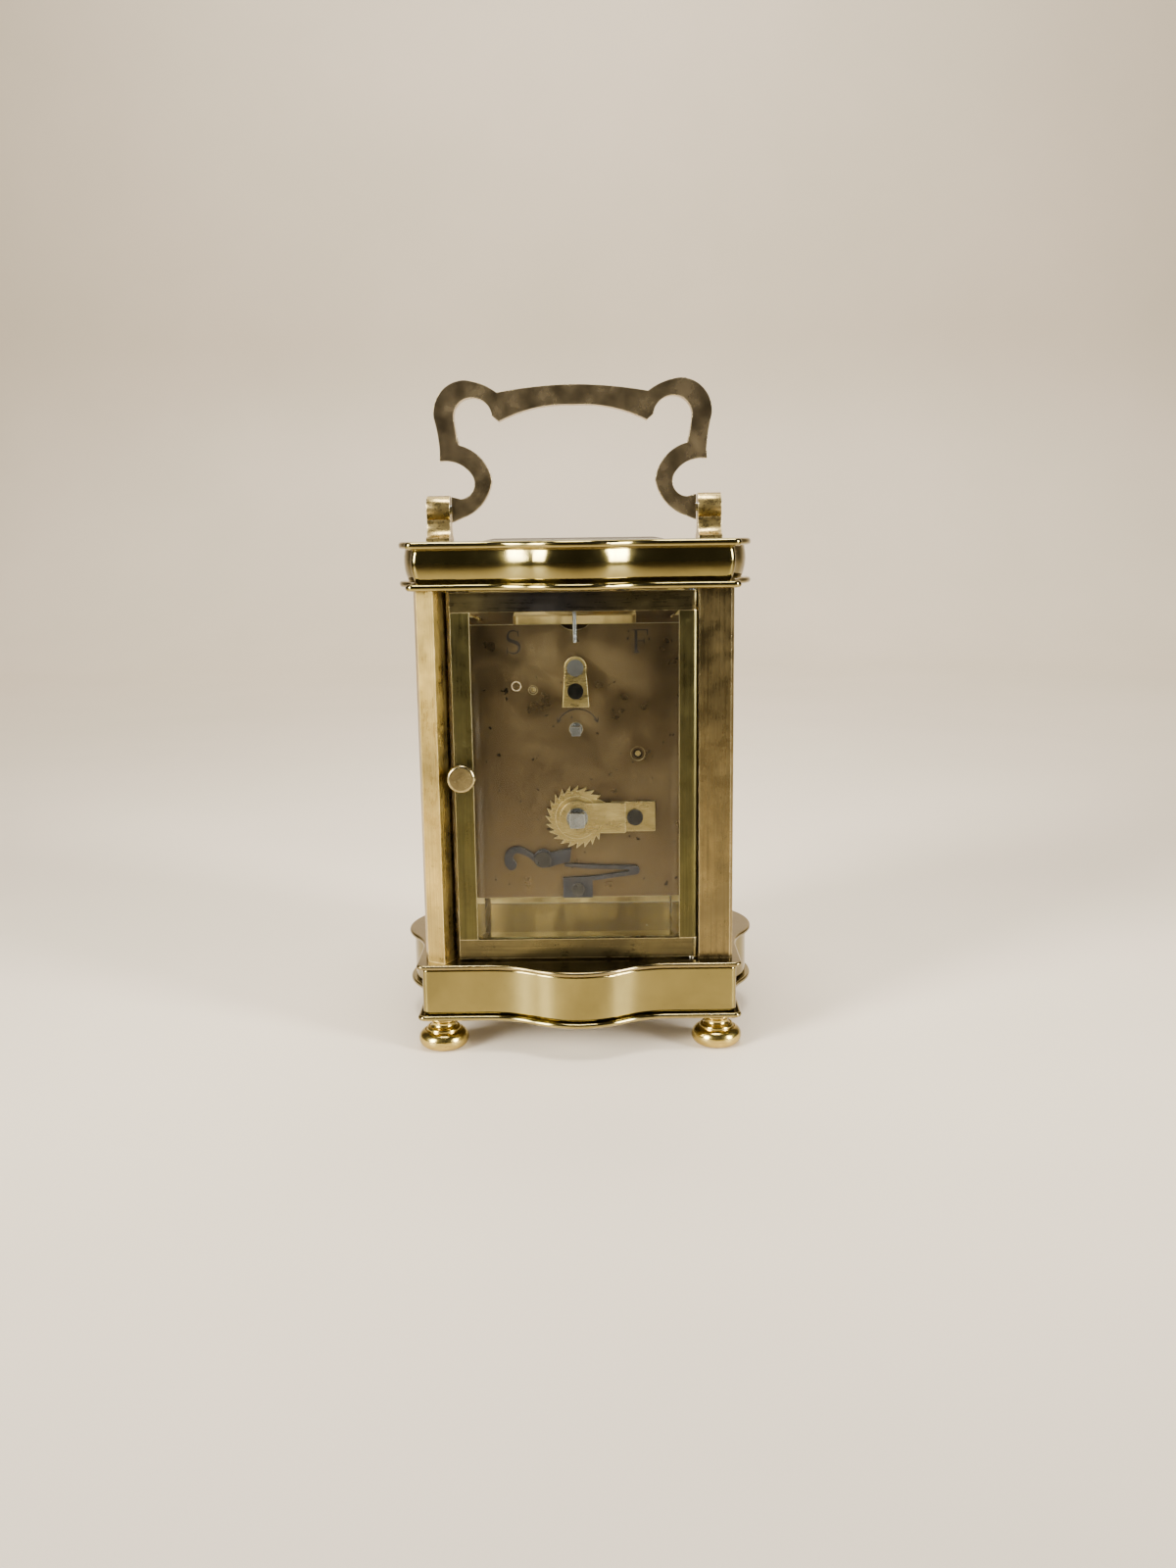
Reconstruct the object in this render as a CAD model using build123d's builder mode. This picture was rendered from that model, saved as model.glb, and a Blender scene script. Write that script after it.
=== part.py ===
from build123d import *
import os
from math import atan, atan2, cos, degrees, hypot, pi, radians, sin

# Carriage clock: a brass timepiece in a glazed case with bowed sides.
# Millimetres. +Z is up, -Y is the rear with the door, +Y is the dial side.
# The origin is the centre of the four feet, on the surface that the clock stands on.
# Heights in this file are drawing heights: the standing surface is at GROUND_Z, and save()
# lowers every piece by that much.

# ---------------------------------------------------------------- driving dimensions
BASE_HALF_WIDTH = 40.0      # base flange, at its corners
BASE_HALF_DEPTH = 36.0
CORNICE_SHRINK = 0.7        # the cornice flange is this much smaller all round
BOW_SIDE = 5.9              # how far each side bows out past the corners
BOW_FRONT = 6.5
BOW_SHARE = 0.56            # share of each side that the bow takes
BAND_INSET = 1.3            # bands stand back from the flanges
BAND_WALL = 2.4
FLANGE_CORNER = 1.8
BAND_CORNER = 1.5
BELLY = ((0, 1.1), (0.2, 0.45), (0.4, 0.12), (0.6, 0), (0.8, 0.1), (1, 0.4))  # (share of height, inset)

GROUND_Z = 3.1              # drawing height of the surface that the clock stands on
LOWER_Z = 11.4              # underside of the base's lower moulding
BASE_BAND_Z = 12.7
BASE_PLATE_Z = 24.5
FLOOR_Z = 25.7              # top of the base plate, where pillars and movement stand
CORNICE_Z = 116.4           # underside of the cornice plate
CORNICE_BAND_Z = 118.0
TOP_PLATE_Z = 126.0
TOP_Z = 127.75

PILLAR_OUT_X = 37.9         # outer and inner faces of the corner pillars
PILLAR_IN_X = 29.6
PILLAR_OUT_Y = 32.0
PILLAR_IN_Y = 24.0
PILLAR_BEVEL = 0.7
SIDE_GLASS_X = 34.0
FRONT_GLASS_Y = 29.0
GROOVE = 1.2                # depth of every glass groove
GROOVE_OUT = 0.42           # the groove widens outwards by this much for the bevel
EDGE_GLASS = 1.0            # thickness of a bevelled glass at its edge
THICK_GLASS = 2.2
BEVEL_GLASS = 3.0           # width of the bevel
SLACK = 0.05                # radial clearance of every pivot in its hole

FOOT_X = 34.2
FOOT_Y = 30.1
FOOT_R = 6.25

HANDLE_AXIS_Z = 135.8
HANDLE_HALF = 2.0           # half thickness of the handle
HANDLE_END_X = 31.1
POST_X = 34.5
POST_WIDTH = 5.9
POST_R = 3.4
HANDLE_PIVOT_R = 1.2

DOOR_X = 29.4               # half width of the door
DOOR_Z0 = 26.2
DOOR_Z1 = 115.9
DOOR_REAR_Y = -32.0
DOOR_FRONT_Y = -29.0
DOOR_OPEN_X = 24.8          # half width of its glazed opening
DOOR_OPEN_Z0 = 31.0
DOOR_OPEN_Z1 = 111.2
HINGE_X = 27.9
HINGE_Y = -30.5
HINGE_PIN_R = 0.8
KNOB_X = -27.4
KNOB_Z = 72.1

PLATE_X = 29.0              # half width of the movement plates
PLATE_Z0 = 39.2
PLATE_Z1 = 107.7
BACK_Y0 = -22.5
BACK_Y1 = -20.5
FRONT_Y0 = 10.5
FRONT_Y1 = 12.5
LEG_WIDTH = 4.0

BARREL = (0.0, 60.0)        # arbor centres in the XZ plane
INTERMEDIATE = (15.2, 75.6)
CENTRE = (0.0, 82.0)
THIRD = (-10.4, 91.7)
CONTRATE = (0.0, 91.5)
MINUTE_ANGLE = -45.0        # direction of the minute wheel's stud from the centre arbor

PLATFORM_Z0 = PLATE_Z1
PLATFORM_Z1 = 108.9
ESCAPE_Y = -3.38            # the escape arbor stands at X 0
LEVER_Y = -7.56
BALANCE_Y = -12.0
COCK_Z0 = 113.7
COCK_Z1 = 114.8

os.makedirs("parts", exist_ok=True)


# ---------------------------------------------------------------- shared helpers
def save(part, label):
    """Lowers a finished piece to the ground, labels it and writes it as its own STEP file."""
    lowered = Pos(0, 0, -GROUND_Z) * part
    lowered.label = label
    export_step(lowered, f"parts/{label}.step")


def facing_rear(y):
    """Sketch plane at the given Y that looks out of the back: X right, Z up, normal -Y."""
    return Plane((0, y, 0), x_dir=(1, 0, 0), z_dir=(0, -1, 0))


def facing_front(y):
    """Sketch plane at the given Y that looks out of the dial side, with X running to the left."""
    return Plane((0, y, 0), x_dir=(-1, 0, 0), z_dir=(0, 1, 0))


def turned(centre, *steps, mode=Mode.ADD):
    """Coaxial cylinders along Y in the open part; a step is (start Y, end Y, radius)."""
    for start, end, radius in steps:
        with BuildSketch(facing_rear(end)) as disc:
            with Locations(centre):
                Circle(radius)
        extrude(disc.sketch, amount=end - start, mode=mode)


def upright(centre, *steps, mode=Mode.ADD):
    """Coaxial cylinders along Z in the open part; a step is (start Z, end Z, radius)."""
    for start, end, radius in steps:
        with BuildSketch(Plane.XY.offset(start)) as disc:
            with Locations(centre):
                Circle(radius)
        extrude(disc.sketch, amount=end - start, mode=mode)


def block(low, high, mode=Mode.ADD):
    """A box in the open part between two corners."""
    size = [h - l for l, h in zip(low, high)]
    with BuildSketch(Plane.XY.offset(low[2])) as base:
        with Locations(((low[0] + high[0]) / 2, (low[1] + high[1]) / 2)):
            Rectangle(size[0], size[1])
    extrude(base.sketch, amount=size[2], mode=mode)


def case_outline(z, trim, corner):
    """The case's plan, trimmed inwards all round: each side is straight near its corners and
    swells in a bow of two S-curves between them."""
    half = (BASE_HALF_WIDTH - trim, BASE_HALF_DEPTH - trim)
    with BuildSketch(Plane.XY.offset(z)) as outline:
        with BuildLine():
            for side in range(4):
                turn = side * 90
                run, reach = (half[0], half[1]) if side % 2 == 0 else (half[1], half[0])
                bow = BOW_FRONT if side % 2 == 0 else BOW_SIDE
                start = BOW_SHARE * (run + trim)
                angle = 2 * atan(bow / start)
                radius = start / (2 * sin(angle))
                meet = (radius + trim) * sin(angle)
                rise = radius - (radius + trim) * cos(angle)

                def at(along, out):
                    """A point on this side, from its middle along it and out from the corner line."""
                    return Vector(along, -reach - out, 0).rotate(Axis.Z, turn)

                ahead = Vector(1, 0, 0).rotate(Axis.Z, turn)
                Line(at(-run + corner, 0), at(-start, 0))
                TangentArc(at(-start, 0), at(-start + meet, rise + trim), tangent=ahead)
                ThreePointArc(at(-start + meet, rise + trim), at(0, bow), at(start - meet, rise + trim))
                TangentArc(at(start, 0), at(start - meet, rise + trim), tangent=ahead * -1)
                Line(at(start, 0), at(run - corner, 0))
                TangentArc(
                    at(run - corner, 0),
                    Vector(run, -reach + corner, 0).rotate(Axis.Z, turn),
                    tangent=ahead,
                )
        make_face()
    return outline.sketch


def moulded_plate(z0, z1, trim, rounding):
    """A plate of the case's plan with rounded rims, in the open part."""
    extrude(case_outline(z0, trim, FLANGE_CORNER), amount=z1 - z0)
    rims = edges().group_by(Axis.Z)[0] + edges().group_by(Axis.Z)[-1]
    fillet(rims, rounding)


def hollow_band(z0, z1, trim):
    """Cuts the inside out of a band of the case's plan in the open part."""
    inner = case_outline(z0 - 1, trim + BAND_WALL, BAND_CORNER)
    extrude(inner, amount=z1 - z0 + 2, mode=Mode.SUBTRACT)


def straight_band(z0, z1, trim, rounding):
    """A hollow band with an upright outer face and rounded rims."""
    extrude(case_outline(z0, trim, BAND_CORNER), amount=z1 - z0)
    fillet(edges().group_by(Axis.Z)[0] + edges().group_by(Axis.Z)[-1], rounding)
    hollow_band(z0, z1, trim)


def bellied_band(z0, z1, trim):
    """A hollow band whose outer face swells between its rims."""
    rings = [case_outline(z0 + share * (z1 - z0), trim + inset, BAND_CORNER) for share, inset in BELLY]
    loft([ring.face() for ring in rings])
    hollow_band(z0, z1, trim)


def bevelled_glass(plane, width, height):
    """A pane with a thin edge on the plane and a broad bevel towards the plane's normal."""
    with BuildSketch(plane) as foot:
        Rectangle(width, height)
    extrude(foot.sketch, amount=EDGE_GLASS)
    with BuildSketch(plane.offset(EDGE_GLASS)) as low:
        Rectangle(width, height)
    with BuildSketch(plane.offset(THICK_GLASS)) as high:
        Rectangle(width - 2 * BEVEL_GLASS, height - 2 * BEVEL_GLASS)
    loft([low.sketch.face(), high.sketch.face()])


def gear_points(teeth, module, addendum, dedendum, tip, root, phase):
    """Corners of a clock gear, four for each tooth; tip and root are widths as shares of the pitch."""
    pitch_radius = teeth * module / 2
    points = []
    for tooth in range(teeth):
        middle = radians(phase) + tooth * 2 * pi / teeth
        for radius, share in (
            (pitch_radius - dedendum * module, -root),
            (pitch_radius + addendum * module, -tip),
            (pitch_radius + addendum * module, tip),
            (pitch_radius - dedendum * module, root),
        ):
            angle = middle + share * pi * module / (2 * radius)
            points.append((radius * cos(angle), radius * sin(angle)))
    return points


def wheel_teeth(centre, y0, y1, teeth, module, phase):
    """A toothed disc between two Y planes; a tooth stands at phase, in degrees from +X towards +Z."""
    with BuildSketch(facing_rear(y1)) as blank:
        with Locations(centre):
            Polygon(*gear_points(teeth, module, 0.95, 1.3, 0.22, 0.56, phase), align=None)
    extrude(blank.sketch, amount=y1 - y0)


def pinion_leaves(centre, y0, y1, leaves, module, phase):
    """A pinion between two Y planes; a leaf stands at phase."""
    with BuildSketch(facing_rear(y1)) as blank:
        with Locations(centre):
            Polygon(*gear_points(leaves, module, 0.7, 1.4, 0.26, 0.42, phase), align=None)
    extrude(blank.sketch, amount=y1 - y0)


def crossings(centre, y0, y1, hub, rim, arm):
    """Cuts the four windows between a wheel's hub, rim and arms."""
    with BuildSketch(facing_rear(y1)) as windows:
        with Locations(centre):
            Circle(rim)
            Circle(hub, mode=Mode.SUBTRACT)
            Rectangle(2 * rim, arm, mode=Mode.SUBTRACT)
            Rectangle(arm, 2 * rim, mode=Mode.SUBTRACT)
    extrude(windows.sketch, amount=y1 - y0, mode=Mode.SUBTRACT)


def bearing_of(start, end):
    """Direction from one arbor to another in degrees from +X towards +Z, and their distance."""
    across, rise = end[0] - start[0], end[1] - start[1]
    return degrees(atan2(rise, across)), hypot(across, rise)


def slotted_screw(centre, y_seat, head_r, head_h, shank_r, length, dome=0.0):
    """A screw along Y with its head to the rear of y_seat and a straight slot."""
    turned(centre, (y_seat - head_h, y_seat, head_r), (y_seat, y_seat + length, shank_r))
    with BuildSketch(facing_rear(y_seat - head_h + 0.4)) as slot:
        with Locations(Location((centre[0], centre[1], 0), (0, 0, 70))):
            Rectangle(2 * head_r + 1, 0.5)
    extrude(slot.sketch, amount=1.0, mode=Mode.SUBTRACT)


def spiral_face(plane, centre, inner, pitch, thickness, half_turns):
    """A flat spiral strip drawn as half circles whose centres alternate."""
    with BuildSketch(plane) as strip:
        with BuildLine():
            x = inner
            outer_end = None
            for step in range(half_turns):
                sign = 1 if step % 2 == 0 else -1
                reach = inner + pitch * (step + 1) / 2
                begin = Vector(centre[0] + sign * x, centre[1])
                end = Vector(centre[0] - sign * reach, centre[1])
                mid = Vector((begin.X + end.X) / 2, centre[1] + sign * (x + reach) / 2)
                ThreePointArc(begin, mid, end)
                skin_begin = begin + Vector(sign * thickness, 0)
                skin_end = end - Vector(sign * thickness, 0)
                skin_mid = Vector(mid.X, mid.Y + sign * thickness)
                ThreePointArc(skin_begin, skin_mid, skin_end)
                if step == 0:
                    Line(begin, skin_begin)
                outer_end = (end, skin_end)
                x = reach
            Line(*outer_end)
        make_face()
    return strip.sketch


# ================================================================ base
with BuildPart() as base_lower_frame:
    moulded_plate(LOWER_Z, BASE_BAND_Z, 0.0, 0.6)
    for x in (-FOOT_X, FOOT_X):
        for y in (-FOOT_Y, FOOT_Y):
            upright((x, y), (LOWER_Z - 1, BASE_BAND_Z + 1, 1.5 + SLACK), mode=Mode.SUBTRACT)
save(base_lower_frame.part, "base_lower_frame")

with BuildPart() as base_band:
    straight_band(BASE_BAND_Z, BASE_PLATE_Z, BAND_INSET, 0.8)
save(base_band.part, "base_band")

PILLAR_SCREW_X = 33.2
PILLAR_SCREW_Y = 27.8
SCREW_HEAD_R = 1.9
PILLAR_SCREWS = [(sx * PILLAR_SCREW_X, sy * PILLAR_SCREW_Y) for sx in (-1, 1) for sy in (-1, 1)]
FOOT_BARS = ((PLATE_X - LEG_WIDTH, PLATE_X), (-PLATE_X, -PLATE_X + LEG_WIDTH))
MOVEMENT_SCREWS = [(sx * (PLATE_X - LEG_WIDTH / 2), y) for sx in (-1, 1) for y in (-15.0, 5.0)]

with BuildPart() as base_plate:
    moulded_plate(BASE_PLATE_Z, FLOOR_Z, 0.0, 0.55)
    for spot in PILLAR_SCREWS + MOVEMENT_SCREWS:
        upright(spot, (BASE_PLATE_Z - 1, FLOOR_Z + 1, 1.2 + SLACK), mode=Mode.SUBTRACT)
    upright((HINGE_X, HINGE_Y), (BASE_PLATE_Z - 1, FLOOR_Z + 1, HINGE_PIN_R + SLACK), mode=Mode.SUBTRACT)
save(base_plate.part, "base_plate")

with BuildPart() as feet:
    for x in (-FOOT_X, FOOT_X):
        for y in (-FOOT_Y, FOOT_Y):
            with BuildSketch(Plane.XZ) as foot_profile:
                with BuildLine():
                    Polyline((0, GROUND_Z), (4.0, GROUND_Z))
                    ThreePointArc((4.0, GROUND_Z), (FOOT_R, 5.5), (4.7, 7.6))
                    Polyline((4.7, 7.6), (4.3, 7.6), (4.3, 7.9))
                    ThreePointArc((4.3, 7.9), (4.05, 8.35), (3.4, 8.5))
                    ThreePointArc((3.4, 8.5), (2.95, 9.3), (3.2, 10.1))
                    Line((3.2, 10.1), (3.6, 10.3))
                    ThreePointArc((3.6, 10.3), (3.8, 10.55), (3.6, 10.8))
                    Polyline((3.6, 10.8), (3.3, 10.8), (3.3, 11.0), (3.7, 11.1), (3.7, LOWER_Z), (1.5, LOWER_Z))
                    Polyline((1.5, LOWER_Z), (1.5, 16.5), (0, 16.5), (0, GROUND_Z))
                make_face()
            bun = revolve(foot_profile.sketch, Axis.Z, mode=Mode.PRIVATE)
            add(Pos(x, y, 0) * bun)
save(feet.part, "feet")

# ================================================================ cornice
WINDOW_X = 21.0
WINDOW_Y = 16.0
TOP_GLASS_X = 22.0
TOP_GLASS_Y = 17.5
TOP_GLASS_Z = 126.8

with BuildPart() as cornice_plate:
    moulded_plate(CORNICE_Z, CORNICE_BAND_Z, CORNICE_SHRINK, 0.75)
    block((-WINDOW_X, -WINDOW_Y, CORNICE_Z - 1), (WINDOW_X, WINDOW_Y, CORNICE_BAND_Z + 1), Mode.SUBTRACT)
    for spot in PILLAR_SCREWS:
        upright(spot, (CORNICE_Z - 1, CORNICE_BAND_Z + 1, 1.2 + SLACK), mode=Mode.SUBTRACT)
    upright((HINGE_X, HINGE_Y), (CORNICE_Z - 1, CORNICE_BAND_Z + 1, HINGE_PIN_R + SLACK), mode=Mode.SUBTRACT)
save(cornice_plate.part, "cornice_plate")

with BuildPart() as cornice_band:
    bellied_band(CORNICE_BAND_Z, TOP_PLATE_Z, BAND_INSET + CORNICE_SHRINK)
save(cornice_band.part, "cornice_band")

with BuildPart() as top_plate:
    moulded_plate(TOP_PLATE_Z, TOP_Z, CORNICE_SHRINK, 0.8)
    block((-WINDOW_X, -WINDOW_Y, TOP_PLATE_Z - 1), (WINDOW_X, WINDOW_Y, TOP_Z + 1), Mode.SUBTRACT)
    block((-TOP_GLASS_X, -TOP_GLASS_Y, TOP_GLASS_Z), (TOP_GLASS_X, TOP_GLASS_Y, TOP_Z + 1), Mode.SUBTRACT)
    for x in (-POST_X, POST_X):
        upright((x, 0), (TOP_PLATE_Z - 1, TOP_Z + 1, 1.5 + SLACK), mode=Mode.SUBTRACT)
save(top_plate.part, "top_plate")

with BuildPart() as top_glass:
    with BuildSketch(Plane.XY.offset(TOP_GLASS_Z)) as pane:
        Rectangle(2 * TOP_GLASS_X - 0.1, 2 * TOP_GLASS_Y - 0.1)
    extrude(pane.sketch, amount=1.1)
    with BuildSketch(Plane.XY.offset(TOP_GLASS_Z + 1.1)) as pane_low:
        Rectangle(2 * TOP_GLASS_X - 0.1, 2 * TOP_GLASS_Y - 0.1)
    with BuildSketch(Plane.XY.offset(TOP_Z + 0.6)) as pane_high:
        Rectangle(2 * TOP_GLASS_X - 5, 2 * TOP_GLASS_Y - 5)
    loft([pane_low.sketch.face(), pane_high.sketch.face()])
save(top_glass.part, "top_glass")


# ================================================================ corner pillars and glasses
def glass_groove_side(sign_x, sign_y):
    """Cuts the groove for a side glass into the inner end of the pillar in this corner."""
    y = sorted((sign_y * PILLAR_IN_Y, sign_y * (PILLAR_IN_Y + GROOVE)))
    x = sorted((sign_x * (SIDE_GLASS_X - 1.15), sign_x * (SIDE_GLASS_X + GROOVE_OUT)))
    block((x[0], y[0], FLOOR_Z), (x[1], y[1], CORNICE_Z), Mode.SUBTRACT)


def screw_holes(sign_x, sign_y):
    """Tapped holes for the screws at both ends of a pillar."""
    spot = (sign_x * PILLAR_SCREW_X, sign_y * PILLAR_SCREW_Y)
    upright(spot, (FLOOR_Z - 1, FLOOR_Z + 8, 1.2), mode=Mode.SUBTRACT)
    upright(spot, (CORNICE_Z - 8, CORNICE_Z + 1, 1.2), mode=Mode.SUBTRACT)


def square_pillar(sign_x, sign_y):
    """A flat-faced corner pillar with bevelled long edges, in the open part."""
    x = sorted((sign_x * PILLAR_IN_X, sign_x * PILLAR_OUT_X))
    y = sorted((sign_y * PILLAR_IN_Y, sign_y * PILLAR_OUT_Y))
    with BuildSketch(Plane.XY.offset(FLOOR_Z)) as section:
        with Locations((sum(x) / 2, sum(y) / 2)):
            Rectangle(x[1] - x[0], y[1] - y[0])
        outer = section.vertices().sort_by(lambda v: sign_x * v.X + sign_y * v.Y)[-1]
        chamfer(outer, PILLAR_BEVEL)
    extrude(section.sketch, amount=CORNICE_Z - FLOOR_Z)
    glass_groove_side(sign_x, sign_y)
    screw_holes(sign_x, sign_y)


with BuildPart() as pillar_rear_right:
    square_pillar(1, -1)
save(pillar_rear_right.part, "pillar_rear_right")

# The left rear pillar has a ridged section: a strip, a broad slanting face, a ridge and a reveal.
RIDGE_SECTION = ((-38.3, -27.3), (-37.2, -32.0), (-32.9, -34.6), (-30.3, -30.0), (-30.3, -24.0), (-38.3, -24.0))

with BuildPart() as pillar_rear_left:
    with BuildSketch(Plane.XY.offset(FLOOR_Z)) as ridge_section:
        Polygon(*RIDGE_SECTION, align=None)
    extrude(ridge_section.sketch, amount=CORNICE_Z - FLOOR_Z)
    glass_groove_side(-1, -1)
    screw_holes(-1, -1)
save(pillar_rear_left.part, "pillar_rear_left")

with BuildPart() as pillars_front:
    for side in (-1, 1):
        square_pillar(side, 1)
        inner = sorted((side * PILLAR_IN_X, side * (PILLAR_IN_X + GROOVE)))
        low = (inner[0], FRONT_GLASS_Y - 1.15, FLOOR_Z)
        block(low, (inner[1], FRONT_GLASS_Y + GROOVE_OUT, CORNICE_Z), Mode.SUBTRACT)
save(pillars_front.part, "pillars_front")

GLASS_HEIGHT = CORNICE_Z - FLOOR_Z - 0.2
GLASS_MID_Z = (CORNICE_Z + FLOOR_Z) / 2

with BuildPart() as front_glass:
    bevelled_glass(
        facing_front(FRONT_GLASS_Y - 1.1).shift_origin((0, FRONT_GLASS_Y - 1.1, GLASS_MID_Z)),
        2 * (PILLAR_IN_X + GROOVE) - 0.2,
        GLASS_HEIGHT,
    )
save(front_glass.part, "front_glass")

with BuildPart() as side_glasses:
    for side in (-1, 1):
        outward = Plane((side * (SIDE_GLASS_X - 1.1), 0, GLASS_MID_Z), x_dir=(0, 1, 0), z_dir=(side, 0, 0))
        bevelled_glass(outward, 2 * (PILLAR_IN_Y + GROOVE) - 0.2, GLASS_HEIGHT)
save(side_glasses.part, "side_glasses")

with BuildPart() as case_screws:
    for spot in PILLAR_SCREWS:
        upright(spot, (BASE_PLATE_Z - 1.2, BASE_PLATE_Z, SCREW_HEAD_R), (BASE_PLATE_Z, FLOOR_Z + 6, 1.2))
        upright(spot, (CORNICE_BAND_Z, CORNICE_BAND_Z + 1.2, SCREW_HEAD_R), (CORNICE_Z - 6, CORNICE_BAND_Z, 1.2))
    for spot in MOVEMENT_SCREWS:
        upright(spot, (BASE_PLATE_Z - 1.2, BASE_PLATE_Z, SCREW_HEAD_R), (BASE_PLATE_Z, FLOOR_Z + 4, 1.2))
save(case_screws.part, "case_screws")

# ================================================================ handle and its posts
with BuildPart() as handle_posts:
    for side in (-1, 1):
        x0 = side * POST_X - POST_WIDTH / 2
        with BuildSketch(Plane((x0, 0, 0), x_dir=(0, 1, 0), z_dir=(1, 0, 0))) as post_profile:
            with BuildLine():
                Polyline((-6.0, TOP_Z), (6.0, TOP_Z), (6.0, TOP_Z + 0.9))
                ThreePointArc((6.0, TOP_Z + 0.9), (3.9, TOP_Z + 1.7), (2.6, HANDLE_AXIS_Z - 3.6))
                Line((2.6, HANDLE_AXIS_Z - 3.6), (-2.6, HANDLE_AXIS_Z - 3.6))
                ThreePointArc((-2.6, HANDLE_AXIS_Z - 3.6), (-3.9, TOP_Z + 1.7), (-6.0, TOP_Z + 0.9))
                Line((-6.0, TOP_Z + 0.9), (-6.0, TOP_Z))
            make_face()
            with Locations((0, HANDLE_AXIS_Z)):
                Circle(POST_R)
                Circle(HANDLE_PIVOT_R + SLACK, mode=Mode.SUBTRACT)
            with Locations((0, HANDLE_AXIS_Z - 3.5)):
                Rectangle(5.2, 1.6)
            with Locations((0, HANDLE_AXIS_Z)):
                Circle(HANDLE_PIVOT_R + SLACK, mode=Mode.SUBTRACT)
        extrude(post_profile.sketch, amount=POST_WIDTH)
        upright((side * POST_X, 0), (TOP_PLATE_Z - 1.5, TOP_Z, 1.5))
        upright((side * POST_X, 0), (TOP_PLATE_Z - 1.5, TOP_PLATE_Z, 2.9))
save(handle_posts.part, "handle_posts")

with BuildPart() as handle:
    with BuildSketch(facing_rear(HANDLE_HALF)) as handle_outline:
        with BuildLine() as left_half:
            # outer edge, from the pivot end up to the middle of the grip
            Line((-HANDLE_END_X, 138.9), (-28.9, 138.3))
            ThreePointArc((-28.9, 138.3), (-25.2, 141.2), (-25.7, 144.2))
            ThreePointArc((-25.7, 144.2), (-28.4, 146.7), (-33.8, 147.7))
            Line((-33.8, 147.7), (-33.7, 150.2))
            ThreePointArc((-33.7, 150.2), (-34.1, 154.2), (-34.95, 158.3))
            ThreePointArc((-34.95, 158.3), (-32.6, 165.1), (-27.0, 167.4))
            ThreePointArc((-27.0, 167.4), (-22.8, 166.4), (-19.0, 164.3))
            ThreePointArc((-19.0, 164.3), (-9.5, 165.6), (0, 166.1))
            # inner edge, back down to the pivot end
            Line((0, 166.1), (0, 161.2))
            ThreePointArc((0, 161.2), (-9.5, 160.5), (-18.7, 157.3))
            Line((-18.7, 157.3), (-20.3, 158.7))
            ThreePointArc((-20.3, 158.7), (-22.3, 162.2), (-25.5, 163.2))
            ThreePointArc((-25.5, 163.2), (-29.1, 161.4), (-30.0, 157.8))
            ThreePointArc((-30.0, 157.8), (-29.55, 154.6), (-28.9, 151.6))
            ThreePointArc((-28.9, 151.6), (-23.8, 148.8), (-20.8, 142.6))
            ThreePointArc((-20.8, 142.6), (-23.0, 137.5), (-28.3, 133.7))
            Line((-28.3, 133.7), (-HANDLE_END_X, 132.5))
            Line((-HANDLE_END_X, 132.5), (-HANDLE_END_X, 138.9))
        make_face()
        mirror(about=Plane.YZ)
    extrude(handle_outline.sketch, amount=2 * HANDLE_HALF)
    for side in (-1, 1):
        with BuildSketch(Plane((side * 28.5, 0, 0), x_dir=(0, side, 0), z_dir=(side, 0, 0))) as pivot_hole:
            with Locations((0, HANDLE_AXIS_Z)):
                Circle(HANDLE_PIVOT_R)
        extrude(pivot_hole.sketch, amount=4, mode=Mode.SUBTRACT)
save(handle.part, "handle")

with BuildPart() as handle_pivots:
    for side in (-1, 1):
        outer_face = POST_X + POST_WIDTH / 2
        with BuildSketch(Plane((side * 28.5, 0, 0), x_dir=(0, side, 0), z_dir=(side, 0, 0))) as pivot:
            with Locations((0, HANDLE_AXIS_Z)):
                Circle(HANDLE_PIVOT_R)
        extrude(pivot.sketch, amount=outer_face - 28.5 - 0.2)
save(handle_pivots.part, "handle_pivots")


# ================================================================ rear door
def door_groove(low, high):
    """Cuts a length of the groove that holds the door's glass."""
    block((low[0], -30.7 - GROOVE_OUT, low[1]), (high[0], -29.55, high[1]), Mode.SUBTRACT)


GROOVE_X = DOOR_OPEN_X + GROOVE
GROOVE_Z0 = DOOR_OPEN_Z0 - GROOVE
GROOVE_Z1 = DOOR_OPEN_Z1 + GROOVE

with BuildPart() as door_hinge_stile:
    block((DOOR_OPEN_X, DOOR_REAR_Y, DOOR_OPEN_Z0), (DOOR_X, DOOR_FRONT_Y, DOOR_OPEN_Z1))
    long_edges = edges().filter_by(Axis.Z).group_by(Axis.X)[-1]
    fillet(long_edges, 1.45)
    door_groove((DOOR_OPEN_X, DOOR_OPEN_Z0), (GROOVE_X, DOOR_OPEN_Z1))
save(door_hinge_stile.part, "door_hinge_stile")

with BuildPart() as door_knob_stile:
    block((-DOOR_X, DOOR_REAR_Y, DOOR_OPEN_Z0), (-DOOR_OPEN_X, DOOR_FRONT_Y, DOOR_OPEN_Z1))
    door_groove((-GROOVE_X, DOOR_OPEN_Z0), (-DOOR_OPEN_X, DOOR_OPEN_Z1))
    turned((KNOB_X, KNOB_Z), (DOOR_REAR_Y - 1, DOOR_FRONT_Y + 1, 1.2), mode=Mode.SUBTRACT)
save(door_knob_stile.part, "door_knob_stile")


def door_rail(z0, z1, groove_z0, groove_z1, pin_z0, pin_z1):
    """A full-width rail with a rounded hinge end, a glass groove and a hole for its hinge pin."""
    block((-DOOR_X, DOOR_REAR_Y, z0), (DOOR_X, DOOR_FRONT_Y, z1))
    fillet(edges().filter_by(Axis.Z).group_by(Axis.X)[-1], 1.45)
    door_groove((-GROOVE_X, groove_z0), (GROOVE_X, groove_z1))
    upright((HINGE_X, HINGE_Y), (pin_z0, pin_z1, HINGE_PIN_R), mode=Mode.SUBTRACT)


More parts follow.
